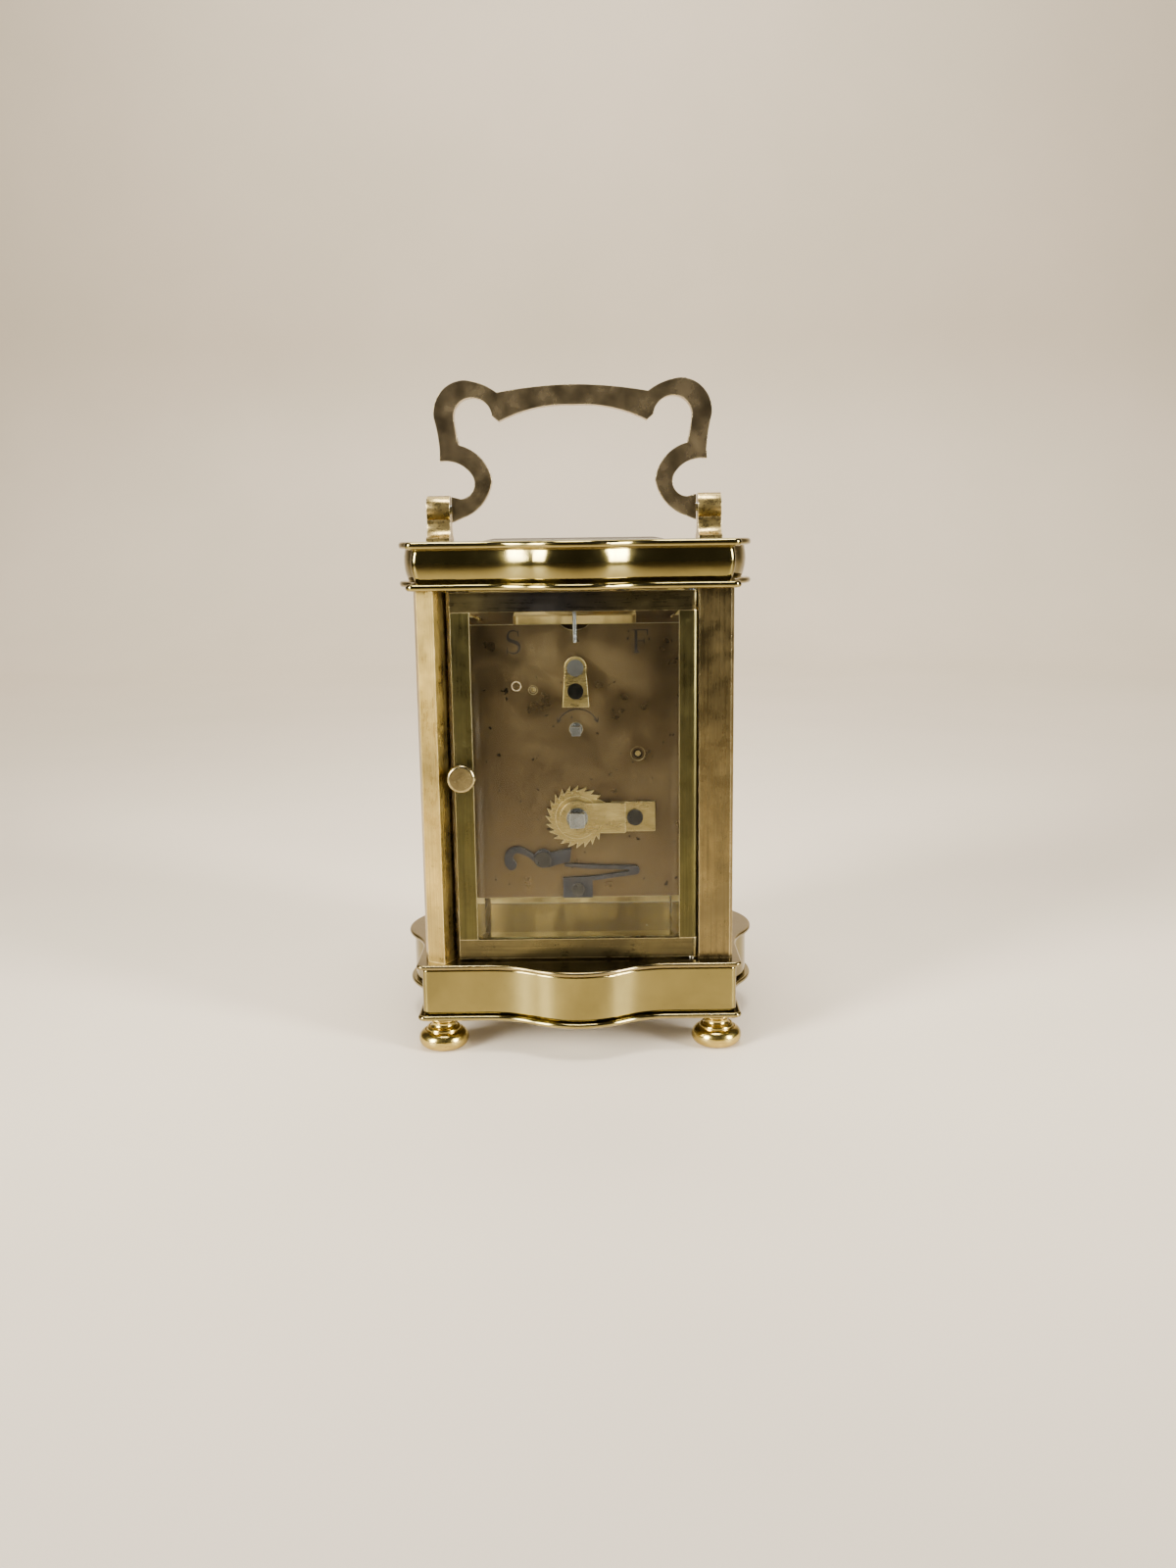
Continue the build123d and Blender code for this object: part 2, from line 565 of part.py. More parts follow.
with BuildPart() as door_bottom_rail:
    door_rail(DOOR_Z0, DOOR_OPEN_Z0, GROOVE_Z0, DOOR_OPEN_Z0, DOOR_Z0 - 1, DOOR_Z0 + 3)
save(door_bottom_rail.part, "door_bottom_rail")

with BuildPart() as door_top_rail:
    door_rail(DOOR_OPEN_Z1, DOOR_Z1, DOOR_OPEN_Z1, GROOVE_Z1, DOOR_Z1 - 3, DOOR_Z1 + 1)
save(door_top_rail.part, "door_top_rail")

with BuildPart() as door_glass:
    bevelled_glass(
        facing_rear(-29.6).shift_origin((0, -29.6, (DOOR_OPEN_Z0 + DOOR_OPEN_Z1) / 2)),
        2 * GROOVE_X - 0.2,
        GROOVE_Z1 - GROOVE_Z0 - 0.2,
    )
save(door_glass.part, "door_glass")

with BuildPart() as door_knob:
    turned((KNOB_X, KNOB_Z), (DOOR_REAR_Y - 4.6, DOOR_REAR_Y - 2.1, 3.4))
    fillet(edges().filter_by(GeomType.CIRCLE), 0.7)
    turned((KNOB_X, KNOB_Z), (DOOR_REAR_Y - 2.3, DOOR_REAR_Y - 0.6, 1.7), (DOOR_REAR_Y - 0.6, DOOR_REAR_Y, 2.4))
    turned((KNOB_X, KNOB_Z), (DOOR_REAR_Y, DOOR_FRONT_Y, 1.2), (DOOR_FRONT_Y, DOOR_FRONT_Y + 0.5, 1.7))
save(door_knob.part, "door_knob")

with BuildPart() as door_hinge_pins:
    upright((HINGE_X, HINGE_Y), (BASE_PLATE_Z + 0.2, DOOR_Z0 + 3, HINGE_PIN_R))
    upright((HINGE_X, HINGE_Y), (DOOR_Z1 - 3, CORNICE_BAND_Z - 0.2, HINGE_PIN_R))
save(door_hinge_pins.part, "door_hinge_pins")

# ================================================================ movement frame
MINUTE_GAP = 8.64
MINUTE = (
    CENTRE[0] + MINUTE_GAP * cos(radians(MINUTE_ANGLE)),
    CENTRE[1] + MINUTE_GAP * sin(radians(MINUTE_ANGLE)),
)
PILLAR_SPOTS = [(sx * 26.9, z) for sx in (-1, 1) for z in (44.5, 102.5)]
CLICK_PIVOT = (-8.7, 49.4)
SPRING_SCREW = (0.0, 41.6)
BRIDGE_SCREW = (14.3, 59.9)
COCK_SCREW = (0.0, 97.2)
PIVOT_R = 0.6
ARBOR_R = 1.1
BARREL_ARBOR_R = 2.6


def movement_plate(y0, y1):
    """A movement plate with two short legs at its lower corners, in the open part."""
    block((-PLATE_X, y0, PLATE_Z0), (PLATE_X, y1, PLATE_Z1))
    for leg in FOOT_BARS:
        block((leg[0], y0, FLOOR_Z), (leg[1], y1, PLATE_Z0))
    for spot in PILLAR_SPOTS:
        turned(spot, (y0 - 1, y1 + 1, 0.95), mode=Mode.SUBTRACT)
    for spot, radius in (
        (BARREL, BARREL_ARBOR_R + SLACK),
        (INTERMEDIATE, PIVOT_R + SLACK),
        (CENTRE, 1.6 + SLACK),
        (THIRD, PIVOT_R + SLACK),
    ):
        turned(spot, (y0 - 1, y1 + 1, radius), mode=Mode.SUBTRACT)


with BuildPart() as back_plate:
    movement_plate(BACK_Y0, BACK_Y1)
    turned(CONTRATE, (BACK_Y0 - 1, BACK_Y1 + 1, 1.6), mode=Mode.SUBTRACT)
    turned((INTERMEDIATE[0], INTERMEDIATE[1]), (BACK_Y0 - 1, BACK_Y0 + 0.7, 1.75), mode=Mode.SUBTRACT)
    turned((THIRD[0], THIRD[1]), (BACK_Y0 - 1, BACK_Y0 + 0.5, 1.1), mode=Mode.SUBTRACT)
    turned((0, PLATE_Z1 + 3.6), (BACK_Y0 - 1, BACK_Y1 + 1, 5.1), mode=Mode.SUBTRACT)
    for spot in (CLICK_PIVOT, SPRING_SCREW, BRIDGE_SCREW, COCK_SCREW):
        turned(spot, (BACK_Y0 - 1, BACK_Y1 + 1, 0.9), mode=Mode.SUBTRACT)
save(back_plate.part, "back_plate")

with BuildPart() as front_plate:
    movement_plate(FRONT_Y0, FRONT_Y1)
    turned(MINUTE, (FRONT_Y0 - 1, FRONT_Y1 + 1, 0.9), mode=Mode.SUBTRACT)
save(front_plate.part, "front_plate")

with BuildPart() as movement_pillars:
    for spot in PILLAR_SPOTS:
        turned(spot, (BACK_Y1, FRONT_Y0, 1.7), (BACK_Y1, BACK_Y1 + 2, 2.05), (FRONT_Y0 - 2, FRONT_Y0, 2.05))
        turned(spot, (-6.2, -3.8, 2.05))
        turned(spot, (BACK_Y1 - 1, BACK_Y1 + 5, 0.9), (FRONT_Y0 - 5, FRONT_Y0 + 1, 0.9), mode=Mode.SUBTRACT)
save(movement_pillars.part, "movement_pillars")

with BuildPart() as plate_screws:
    for spot in PILLAR_SPOTS:
        turned(spot, (BACK_Y0 - 1.1, BACK_Y0, 1.6), (BACK_Y0, BACK_Y1 + 4, 0.9))
        turned(spot, (FRONT_Y1, FRONT_Y1 + 1.1, 1.6), (FRONT_Y0 - 4, FRONT_Y1, 0.9))
save(plate_screws.part, "plate_screws")

with BuildPart() as movement_feet:
    for leg in FOOT_BARS:
        block((leg[0], BACK_Y1, FLOOR_Z), (leg[1], FRONT_Y0, FLOOR_Z + 5))
    for spot in MOVEMENT_SCREWS:
        upright(spot, (FLOOR_Z - 1, FLOOR_Z + 6, 1.2), mode=Mode.SUBTRACT)
save(movement_feet.part, "movement_feet")

# ================================================================ barrel and winding work
GREAT_TEETH = 84
INTERMEDIATE_LEAVES = 12
TO_INTERMEDIATE, INTERMEDIATE_GAP = bearing_of(BARREL, INTERMEDIATE)
GREAT_MODULE = 2 * INTERMEDIATE_GAP / (GREAT_TEETH + INTERMEDIATE_LEAVES)
DRUM_R = 17.5
DRUM_WALL = 0.9
GREAT_Y0 = -18.6
GREAT_Y1 = -17.0
DRUM_Y1 = 3.0
CAP_Y0 = 2.1

with BuildPart() as barrel:
    wheel_teeth(BARREL, GREAT_Y0, GREAT_Y1, GREAT_TEETH, GREAT_MODULE, TO_INTERMEDIATE)
    turned(BARREL, (GREAT_Y1, DRUM_Y1, DRUM_R))
    turned(BARREL, (GREAT_Y1, DRUM_Y1, DRUM_R - DRUM_WALL), mode=Mode.SUBTRACT)
    turned(BARREL, (GREAT_Y0 - 1, GREAT_Y1 + 1, BARREL_ARBOR_R + SLACK), mode=Mode.SUBTRACT)
save(barrel.part, "barrel")

with BuildPart() as barrel_cap:
    turned(BARREL, (CAP_Y0, DRUM_Y1, DRUM_R - DRUM_WALL - SLACK))
    turned(BARREL, (CAP_Y0 - 1, DRUM_Y1 + 1, BARREL_ARBOR_R + SLACK), mode=Mode.SUBTRACT)
save(barrel_cap.part, "barrel_cap")

with BuildPart() as mainspring:
    coil = spiral_face(facing_rear(1.6), BARREL, 5.0, 1.35, 0.45, 16)
    extrude(coil, amount=1.6 + 16.5)
save(mainspring.part, "mainspring")

with BuildPart() as barrel_arbor:
    turned(BARREL, (-24.6, 12.9, BARREL_ARBOR_R), (-16.7, 1.9, 4.2))
    with BuildSketch(facing_rear(-24.6)) as winding_square:
        with Locations(BARREL):
            Rectangle(3.6, 3.6)
            chamfer(winding_square.vertices(), 0.25)
    extrude(winding_square.sketch, amount=4.0)
save(barrel_arbor.part, "barrel_arbor")

RATCHET_TEETH = 24
RATCHET_TIP = 7.9
RATCHET_ROOT = 6.5

with BuildPart() as ratchet_wheel:
    with BuildSketch(facing_rear(-22.7)) as ratchet_outline:
        with Locations(BARREL):
            saw = []
            for tooth in range(RATCHET_TEETH):
                root_angle = tooth * 2 * pi / RATCHET_TEETH
                tip_angle = root_angle - 0.16 * 2 * pi / RATCHET_TEETH
                saw.append((RATCHET_ROOT * cos(root_angle), RATCHET_ROOT * sin(root_angle)))
                saw.append((RATCHET_TIP * cos(tip_angle), RATCHET_TIP * sin(tip_angle)))
            Polygon(*saw, align=None)
    extrude(ratchet_outline.sketch, amount=1.1)
    turned(BARREL, (-24.2, -23.7, 5.4))
    turned(BARREL, (-25, -22, BARREL_ARBOR_R), mode=Mode.SUBTRACT)
save(ratchet_wheel.part, "ratchet_wheel")

BRIDGE_HALF = 3.75
BRIDGE_STEP_X = 11.9
BRIDGE_END_X = 19.3

with BuildPart() as ratchet_bridge:
    with BuildSketch(facing_rear(-24.4)) as bridge_top:
        with Locations((BARREL[0] + BRIDGE_STEP_X / 2, BARREL[1])):
            Rectangle(BRIDGE_STEP_X, 2 * BRIDGE_HALF)
        with Locations(BARREL):
            Circle(4.4)
            Circle(BARREL_ARBOR_R + SLACK, mode=Mode.SUBTRACT)
    extrude(bridge_top.sketch, amount=1.1)
    low_z, high_z = BARREL[1] - BRIDGE_HALF, BARREL[1] + BRIDGE_HALF
    block((8.4, -24.5, low_z), (BRIDGE_STEP_X, BACK_Y0, high_z))
    block((BRIDGE_STEP_X, BACK_Y0 - 1.3, low_z), (BRIDGE_END_X, BACK_Y0, high_z))
    turned(BRIDGE_SCREW, (-26, -22, 0.9), mode=Mode.SUBTRACT)
save(ratchet_bridge.part, "ratchet_bridge")

CLICK_Y0 = -23.9
CLICK_Y1 = -22.7

with BuildPart() as click:
    with BuildSketch(facing_rear(CLICK_Y1)) as click_outline:
        with BuildLine():
            # body and nose, right of the pivot
            ThreePointArc((-10.9, 50.3), (-8.9, 51.8), (-6.8, 50.9))
            Polyline((-6.8, 50.9), (-4.6, 51.5), (-1.7, 51.95), (-2.0, 48.7), (-5.6, 47.9))
            ThreePointArc((-5.6, 47.9), (-7.4, 47.3), (-10.2, 47.6))
            # curled tail, left of the pivot
            ThreePointArc((-10.2, 47.6), (-11.9, 49.6), (-14.4, 50.9))
            ThreePointArc((-14.4, 50.9), (-16.1, 50.3), (-15.7, 48.7))
            ThreePointArc((-15.7, 48.7), (-15.9, 46.9), (-17.7, 47.3))
            ThreePointArc((-17.7, 47.3), (-17.6, 51.5), (-14.3, 52.4))
            ThreePointArc((-14.3, 52.4), (-12.4, 51.6), (-10.9, 50.3))
        make_face()
        with Locations(CLICK_PIVOT):
            Circle(1.1 + SLACK, mode=Mode.SUBTRACT)
    extrude(click_outline.sketch, amount=CLICK_Y1 - CLICK_Y0)
save(click.part, "click")

with BuildPart() as click_spring:
    with BuildSketch(facing_rear(BACK_Y0)) as spring_outline:
        with BuildLine():
            Polyline((-3.8, 39.3), (3.6, 39.3), (3.6, 43.7), (14.3, 45.1))
            ThreePointArc((14.3, 45.1), (15.4, 46.4), (14.3, 47.3))
            Polyline((14.3, 47.3), (-3.4, 48.0), (-3.4, 47.4), (3.0, 46.7), (12.6, 46.5), (12.6, 45.9))
            Polyline((12.6, 45.9), (3.6, 44.7), (-3.8, 44.4), (-3.8, 39.3))
        make_face()
        with Locations(SPRING_SCREW):
            Circle(0.9, mode=Mode.SUBTRACT)
    extrude(spring_outline.sketch, amount=1.1)
save(click_spring.part, "click_spring")

# ================================================================ going train
INTERMEDIATE_TEETH = 56
CENTRE_LEAVES = 14
CENTRE_TEETH = 80
THIRD_LEAVES = 10
THIRD_TEETH = 75
CONTRATE_LEAVES = 10
CONTRATE_TEETH = 60
ESCAPE_LEAVES = 6

TO_CENTRE, CENTRE_GAP = bearing_of(INTERMEDIATE, CENTRE)
TO_THIRD, THIRD_GAP = bearing_of(CENTRE, THIRD)
TO_CONTRATE, CONTRATE_GAP = bearing_of(THIRD, CONTRATE)
INTERMEDIATE_MODULE = 2 * CENTRE_GAP / (INTERMEDIATE_TEETH + CENTRE_LEAVES)
CENTRE_MODULE = 2 * THIRD_GAP / (CENTRE_TEETH + THIRD_LEAVES)
THIRD_MODULE = 2 * CONTRATE_GAP / (THIRD_TEETH + CONTRATE_LEAVES)


def gap_phase(bearing, leaves):
    """Phase that puts a gap, not a leaf, on the side that faces the driving wheel."""
    return bearing + 180 + 180 / leaves


with BuildPart() as intermediate_wheel:
    turned(INTERMEDIATE, (BACK_Y0 + 0.9, FRONT_Y1 - 0.3, PIVOT_R), (BACK_Y1 + 0.2, FRONT_Y0 - 0.2, ARBOR_R))
    wheel_teeth(INTERMEDIATE, 4.4, 5.4, INTERMEDIATE_TEETH, INTERMEDIATE_MODULE, TO_CENTRE)
    crossings(INTERMEDIATE, 4.4, 5.4, 3.4, 11.2, 1.8)
    leaf_phase = gap_phase(TO_INTERMEDIATE, INTERMEDIATE_LEAVES)
    pinion_leaves(INTERMEDIATE, -19.0, -16.6, INTERMEDIATE_LEAVES, GREAT_MODULE, leaf_phase)
save(intermediate_wheel.part, "intermediate_wheel")

with BuildPart() as centre_wheel:
    wheel_teeth(CENTRE, 7.0, 8.0, CENTRE_TEETH, CENTRE_MODULE, TO_THIRD)
    crossings(CENTRE, 7.0, 8.0, 3.6, 10.6, 1.6)
    turned(CENTRE, (6.0, 9.0, 1.6), mode=Mode.SUBTRACT)
save(centre_wheel.part, "centre_wheel")

CANNON_LEAVES = 12
MINUTE_TEETH = 36
MINUTE_LEAVES = 10
HOUR_TEETH = 40
CANNON_MODULE = 2 * MINUTE_GAP / (CANNON_LEAVES + MINUTE_TEETH)
HOUR_MODULE = 2 * MINUTE_GAP / (MINUTE_LEAVES + HOUR_TEETH)
TO_MINUTE = MINUTE_ANGLE

with BuildPart() as centre_arbor:
    turned(CENTRE, (BACK_Y0 - 1.0, FRONT_Y1 + 0.4, 1.6), (FRONT_Y1, 24.6, 1.0))
    centre_phase = gap_phase(TO_CENTRE, CENTRE_LEAVES)
    pinion_leaves(CENTRE, 3.6, 7.0, CENTRE_LEAVES, INTERMEDIATE_MODULE, centre_phase)
    pinion_leaves(CENTRE, 13.0, 14.3, CANNON_LEAVES, CANNON_MODULE, TO_MINUTE)
    with BuildSketch(facing_rear(BACK_Y0 - 1.0)) as set_square:
        with Locations(CENTRE):
            Rectangle(2.25, 2.25)
            chamfer(set_square.vertices(), 0.15)
    extrude(set_square.sketch, amount=4.0)
save(centre_arbor.part, "centre_arbor")

with BuildPart() as third_wheel:
    turned(THIRD, (BACK_Y0 + 0.7, FRONT_Y1 - 0.3, PIVOT_R), (BACK_Y1 + 0.2, FRONT_Y0 - 0.2, 0.85))
    wheel_teeth(THIRD, -8.0, -7.2, THIRD_TEETH, THIRD_MODULE, TO_CONTRATE)
    crossings(THIRD, -8.0, -7.2, 2.4, 7.6, 1.2)
    pinion_leaves(THIRD, 6.4, 8.6, THIRD_LEAVES, CENTRE_MODULE, gap_phase(TO_THIRD, THIRD_LEAVES))
save(third_wheel.part, "third_wheel")

CROWN_R = 7.2               # mean radius of the crown teeth
CROWN_MODULE = 2 * CROWN_R / CONTRATE_TEETH
CROWN_Y0 = -5.6             # rear face of the wheel's web
CROWN_ROOT_Y = -4.75
CROWN_TIP_Y = -4.02
CROWN_HALF = 0.5            # half the radial length of a crown tooth

with BuildPart() as contrate_wheel:
    turned(CONTRATE, (BACK_Y0 - 0.9, -1.2, PIVOT_R), (BACK_Y1 + 0.3, -2.7, 0.8))
    turned(CONTRATE, (CROWN_Y0, CROWN_ROOT_Y, CROWN_R + CROWN_HALF))
    crossings(CONTRATE, CROWN_Y0, CROWN_ROOT_Y, 2.0, 6.1, 1.1)
    contrate_phase = gap_phase(TO_CONTRATE, CONTRATE_LEAVES)
    pinion_leaves(CONTRATE, -8.6, -6.6, CONTRATE_LEAVES, THIRD_MODULE, contrate_phase)
    tooth_width = 0.36 * pi * CROWN_MODULE
    for tooth in range(CONTRATE_TEETH):
        turn = 90 + tooth * 360 / CONTRATE_TEETH
        spot = (
            CONTRATE[0] + CROWN_R * cos(radians(turn)),
            CONTRATE[1] + CROWN_R * sin(radians(turn)),
        )
        with BuildSketch(facing_rear(CROWN_TIP_Y)) as crown_tooth:
            with Locations(Location((spot[0], spot[1], 0), (0, 0, turn))):
                Rectangle(2 * CROWN_HALF, tooth_width)
        extrude(crown_tooth.sketch, amount=CROWN_TIP_Y - CROWN_ROOT_Y + 0.1)
save(contrate_wheel.part, "contrate_wheel")

with BuildPart() as contrate_cock:
    with BuildSketch(facing_rear(BACK_Y0)) as cock_outline:
        with BuildLine():
            Polyline((-2.6, 96.6), (-3.3, 87.5), (3.3, 87.5), (2.6, 96.6))
            ThreePointArc((2.6, 96.6), (0, 99.9), (-2.6, 96.6))
        make_face()
    extrude(cock_outline.sketch, amount=1.5)
    turned(COCK_SCREW, (-25, -22, 0.9), mode=Mode.SUBTRACT)
    turned(CONTRATE, (BACK_Y0 - 1.0, BACK_Y0 + 0.1, PIVOT_R + SLACK), mode=Mode.SUBTRACT)
    turned(CONTRATE, (BACK_Y0 - 1.6, BACK_Y0 - 1.0, 0.5), mode=Mode.SUBTRACT)
save(contrate_cock.part, "contrate_cock")

with BuildPart() as contrate_potence:
    block((9.6, BACK_Y1, 89.0), (12.0, -1.0, 94.0))
    block((-2.2, -2.5, 90.0), (12.0, -1.0, 93.0))
    turned(CONTRATE, (-3.0, 0.0, PIVOT_R + SLACK), mode=Mode.SUBTRACT)
save(contrate_potence.part, "contrate_potence")

# Upright screws: balance cock, escape cock, and the platform's own two (place, seat, head and shank radius).
PLATFORM_SCREWS = (
    ((12.0, BALANCE_Y), COCK_Z1, 1.7, 0.8),
    ((-8.7, -5.5), 111.3, 1.1, 0.6),
    ((-12.0, 6.5), PLATFORM_Z1, 1.7, 0.8),
    ((12.0, 6.5), PLATFORM_Z1, 1.7, 0.8),
)

with BuildPart() as small_screws:
    slotted_screw(CLICK_PIVOT, CLICK_Y0 - 0.1, 2.0, 0.9, 1.1, 1.5)
    turned(CLICK_PIVOT, (BACK_Y0 - 0.1, BACK_Y1, 0.9))
    slotted_screw(SPRING_SCREW, BACK_Y0 - 1.1, 1.6, 0.8, 0.9, 3.0)
    slotted_screw(BRIDGE_SCREW, BACK_Y0 - 1.3, 2.0, 0.9, 0.9, 3.2)
    slotted_screw(COCK_SCREW, BACK_Y0 - 1.5, 2.05, 1.0, 0.9, 3.4)
    slotted_screw(CONTRATE, BACK_Y0 - 1.5, 1.95, 0.8, 0.5, 0.3)
    for spot, seat, head, shank in PLATFORM_SCREWS:
        upright(spot, (seat, seat + 0.6, head), (PLATFORM_Z0 + 0.2, seat, shank))
save(small_screws.part, "small_screws")

# ================================================================ platform escapement
PLATFORM_X = 15.0
PLATFORM_REAR_Y = BACK_Y0 + 0.4
PLATFORM_FRONT_Y = 8.0
COCK_FOOT_X = 9.4
ESCAPE_TEETH = 15
ESCAPE_R = 3.6
ESCAPE_Z0 = 109.8
ESCAPE_Z1 = 110.2
LEVER_Z0 = 109.7
LEVER_Z1 = 110.3
POTENCE_Z = 95.6

with BuildPart() as platform:
    block((-PLATFORM_X, PLATFORM_REAR_Y, PLATFORM_Z0), (PLATFORM_X, FRONT_Y0 + 1.0, PLATFORM_Z1))
    fillet(edges().filter_by(Axis.Z), 1.5)
    upright((0, ESCAPE_Y), (PLATFORM_Z0 - 1, PLATFORM_Z1 + 1, 1.3), mode=Mode.SUBTRACT)
    upright((0, LEVER_Y), (PLATFORM_Z0 - 1, PLATFORM_Z1 + 1, 0.35 + SLACK), mode=Mode.SUBTRACT)
    upright((0, BALANCE_Y), (PLATFORM_Z0 - 1, PLATFORM_Z1 + 1, 0.35 + SLACK), mode=Mode.SUBTRACT)
    for spot, _, _, shank in PLATFORM_SCREWS:
        upright(spot, (PLATFORM_Z0 - 1, PLATFORM_Z1 + 1, shank), mode=Mode.SUBTRACT)
save(platform.part, "platform")

with BuildPart() as escape_potence:
    block((-6.6, -3.9, POTENCE_Z + 0.9), (-4.6, -1.6, PLATFORM_Z0))
    block((-6.6, -3.9, POTENCE_Z), (1.6, -1.6, POTENCE_Z + 0.9))
    upright((0, ESCAPE_Y), (POTENCE_Z - 1, POTENCE_Z + 2, 0.35 + SLACK), mode=Mode.SUBTRACT)
save(escape_potence.part, "escape_potence")

with BuildPart() as escape_wheel:
    with BuildSketch(Plane.XY.offset(ESCAPE_Z0)) as escape_outline:
        with Locations((0, ESCAPE_Y)):
            club = []
            for tooth in range(ESCAPE_TEETH):
                start = tooth * 2 * pi / ESCAPE_TEETH
                for radius, lead in ((2.75, 0.12), (3.45, 0.25), (ESCAPE_R, 0.17), (3.3, 0.12), (2.75, 0.0)):
                    club.append((radius * cos(start - lead), radius * sin(start - lead)))
            Polygon(*club, align=None)
            Circle(2.3, mode=Mode.SUBTRACT)
            Circle(0.9)
            Rectangle(4.8, 0.5)
            Rectangle(0.5, 4.8)
    extrude(escape_outline.sketch, amount=ESCAPE_Z1 - ESCAPE_Z0)
    upright((0, ESCAPE_Y), (POTENCE_Z + 0.1, 111.2, 0.35), (POTENCE_Z + 1.1, 110.6, 0.4))
    leaf_phase = -90 + 180 / ESCAPE_LEAVES
    with BuildSketch(Plane.XY.offset(CONTRATE[1] + CROWN_R - 1.1)) as escape_pinion:
        with Locations((0, ESCAPE_Y)):
            Polygon(*gear_points(ESCAPE_LEAVES, CROWN_MODULE, 0.55, 1.1, 0.24, 0.34, leaf_phase), align=None)
    extrude(escape_pinion.sketch, amount=2.2)
save(escape_wheel.part, "escape_wheel")

with BuildPart() as escape_cock:
    with BuildSketch(Plane.XY.offset(110.75)) as escape_cock_plan:
        Polygon((-11.5, -9.4), (1.2, -8.8), (1.2, -2.2), (-11.5, -1.6), align=None)
    extrude(escape_cock_plan.sketch, amount=0.55)
    block((-11.5, -8.0, PLATFORM_Z1), (-6.0, -3.0, 110.75))
    for y in (ESCAPE_Y, LEVER_Y):
        upright((0, y), (110.0, 112.0, 0.35 + SLACK), mode=Mode.SUBTRACT)
    upright((-8.7, -5.5), (PLATFORM_Z1 - 1, 112.0, 0.6), mode=Mode.SUBTRACT)
save(escape_cock.part, "escape_cock")

# The two pallet stones stand just outside the escape wheel's tip circle.
STONE_REACH = 3.85
STONE_NEAR = (STONE_REACH * sin(radians(30)), ESCAPE_Y - STONE_REACH * cos(radians(30)))
STONE_FAR = (STONE_REACH * sin(radians(38)), ESCAPE_Y - STONE_REACH * cos(radians(38)))

with BuildPart() as lever:
    with BuildSketch(Plane.XY.offset(LEVER_Z0)) as lever_outline:
        with Locations((0, LEVER_Y)):
            Circle(0.5)
        with Locations((0, (LEVER_Y - 10.55) / 2)):
            Rectangle(0.5, LEVER_Y + 10.55)
        for side in (-1, 1):
            arm = [(0, -7.2), (1.9, -6.9), STONE_NEAR, STONE_FAR, (2.8, -7.1), (2.3, -7.5), (0, -7.95)]
            Polygon(*[(side * x, y) for x, y in arm], align=None)
            with Locations((side * 0.42, -10.75)):
                Rectangle(0.32, 0.9)
        with Locations((0, -10.4)):
            Rectangle(1.16, 0.4)
    extrude(lever_outline.sketch, amount=LEVER_Z1 - LEVER_Z0)
    upright((0, LEVER_Y), (PLATFORM_Z0 + 0.2, 111.2, 0.35))
save(lever.part, "lever")

BALANCE_R = 7.0
with BuildPart() as balance_wheel:
    with BuildSketch(Plane.XY.offset(111.6)) as rim:
        with Locations((0, BALANCE_Y)):
            Circle(BALANCE_R)
            Circle(BALANCE_R - 0.9, mode=Mode.SUBTRACT)
            Rectangle(2 * BALANCE_R - 1, 0.8)
            Circle(1.1)
    extrude(rim.sketch, amount=0.8)
    for turn in range(0, 360, 30):
        spot = Vector(BALANCE_R + 0.15, 0, 0).rotate(Axis.Z, turn + 15)
        upright((spot.X, BALANCE_Y + spot.Y), (111.7, 112.3, 0.42))
    upright((0, BALANCE_Y), (PLATFORM_Z0 + 0.2, COCK_Z0 + 0.9, 0.35), (109.3, 113.3, 0.45))
    upright((0, BALANCE_Y), (110.75, 111.1, 1.25))
    upright((0, BALANCE_Y + 0.95), (110.42, 110.8, 0.17))
save(balance_wheel.part, "balance_wheel")

with BuildPart() as balance_spring:
    hairspring = spiral_face(Plane.XY.offset(112.75), (0, BALANCE_Y), 1.0, 0.5, 0.12, 11)
    extrude(hairspring, amount=0.35)
    upright((0, BALANCE_Y), (112.75, 113.1, 1.15))
    upright((0, BALANCE_Y), (112.7, 113.2, 0.5), mode=Mode.SUBTRACT)
save(balance_spring.part, "balance_spring")

with BuildPart() as balance_cock:
    with BuildSketch(Plane.XY.offset(COCK_Z0)) as cock_plan:
        with BuildLine():
            ThreePointArc((0, BALANCE_Y + 2.6), (-2.6, BALANCE_Y), (0, BALANCE_Y - 2.6))
            Polyline((0, BALANCE_Y - 2.6), (8.6, BALANCE_Y - 4.2), (14.4, BALANCE_Y - 4.2))
            Polyline((14.4, BALANCE_Y - 4.2), (14.4, BALANCE_Y + 4.2), (8.6, BALANCE_Y + 4.2), (0, BALANCE_Y + 2.6))
        make_face()
    extrude(cock_plan.sketch, amount=COCK_Z1 - COCK_Z0)
    block((COCK_FOOT_X, BALANCE_Y - 4.2, PLATFORM_Z1), (14.4, BALANCE_Y + 4.2, COCK_Z0))
    upright((0, BALANCE_Y), (COCK_Z0 - 1, COCK_Z1 + 2, 0.35 + SLACK), mode=Mode.SUBTRACT)
    upright((0, BALANCE_Y), (COCK_Z1, COCK_Z1 + 0.8, 1.6))
    upright((12.0, BALANCE_Y), (PLATFORM_Z1 - 1, COCK_Z1 + 1, 0.8), mode=Mode.SUBTRACT)
save(balance_cock.part, "balance_cock")

INDEX_REAR_Y = -24.2
PIN_LOW_Z = 103.4
with BuildPart() as regulator:
    with BuildSketch(Plane.XY.offset(COCK_Z1 + 0.05)) as index:
        with Locations((0, BALANCE_Y)):
            Circle(2.5)
        with Locations((0, (INDEX_REAR_Y - 0.3 + BALANCE_Y) / 2)):
            Rectangle(1.1, BALANCE_Y - INDEX_REAR_Y + 0.3)
        with Locations((0, BALANCE_Y)):
            Circle(1.6 + SLACK, mode=Mode.SUBTRACT)
    extrude(index.sketch, amount=0.5)
    upright((0, INDEX_REAR_Y), (PIN_LOW_Z, COCK_Z1 + 0.3, 0.5))
save(regulator.part, "regulator")

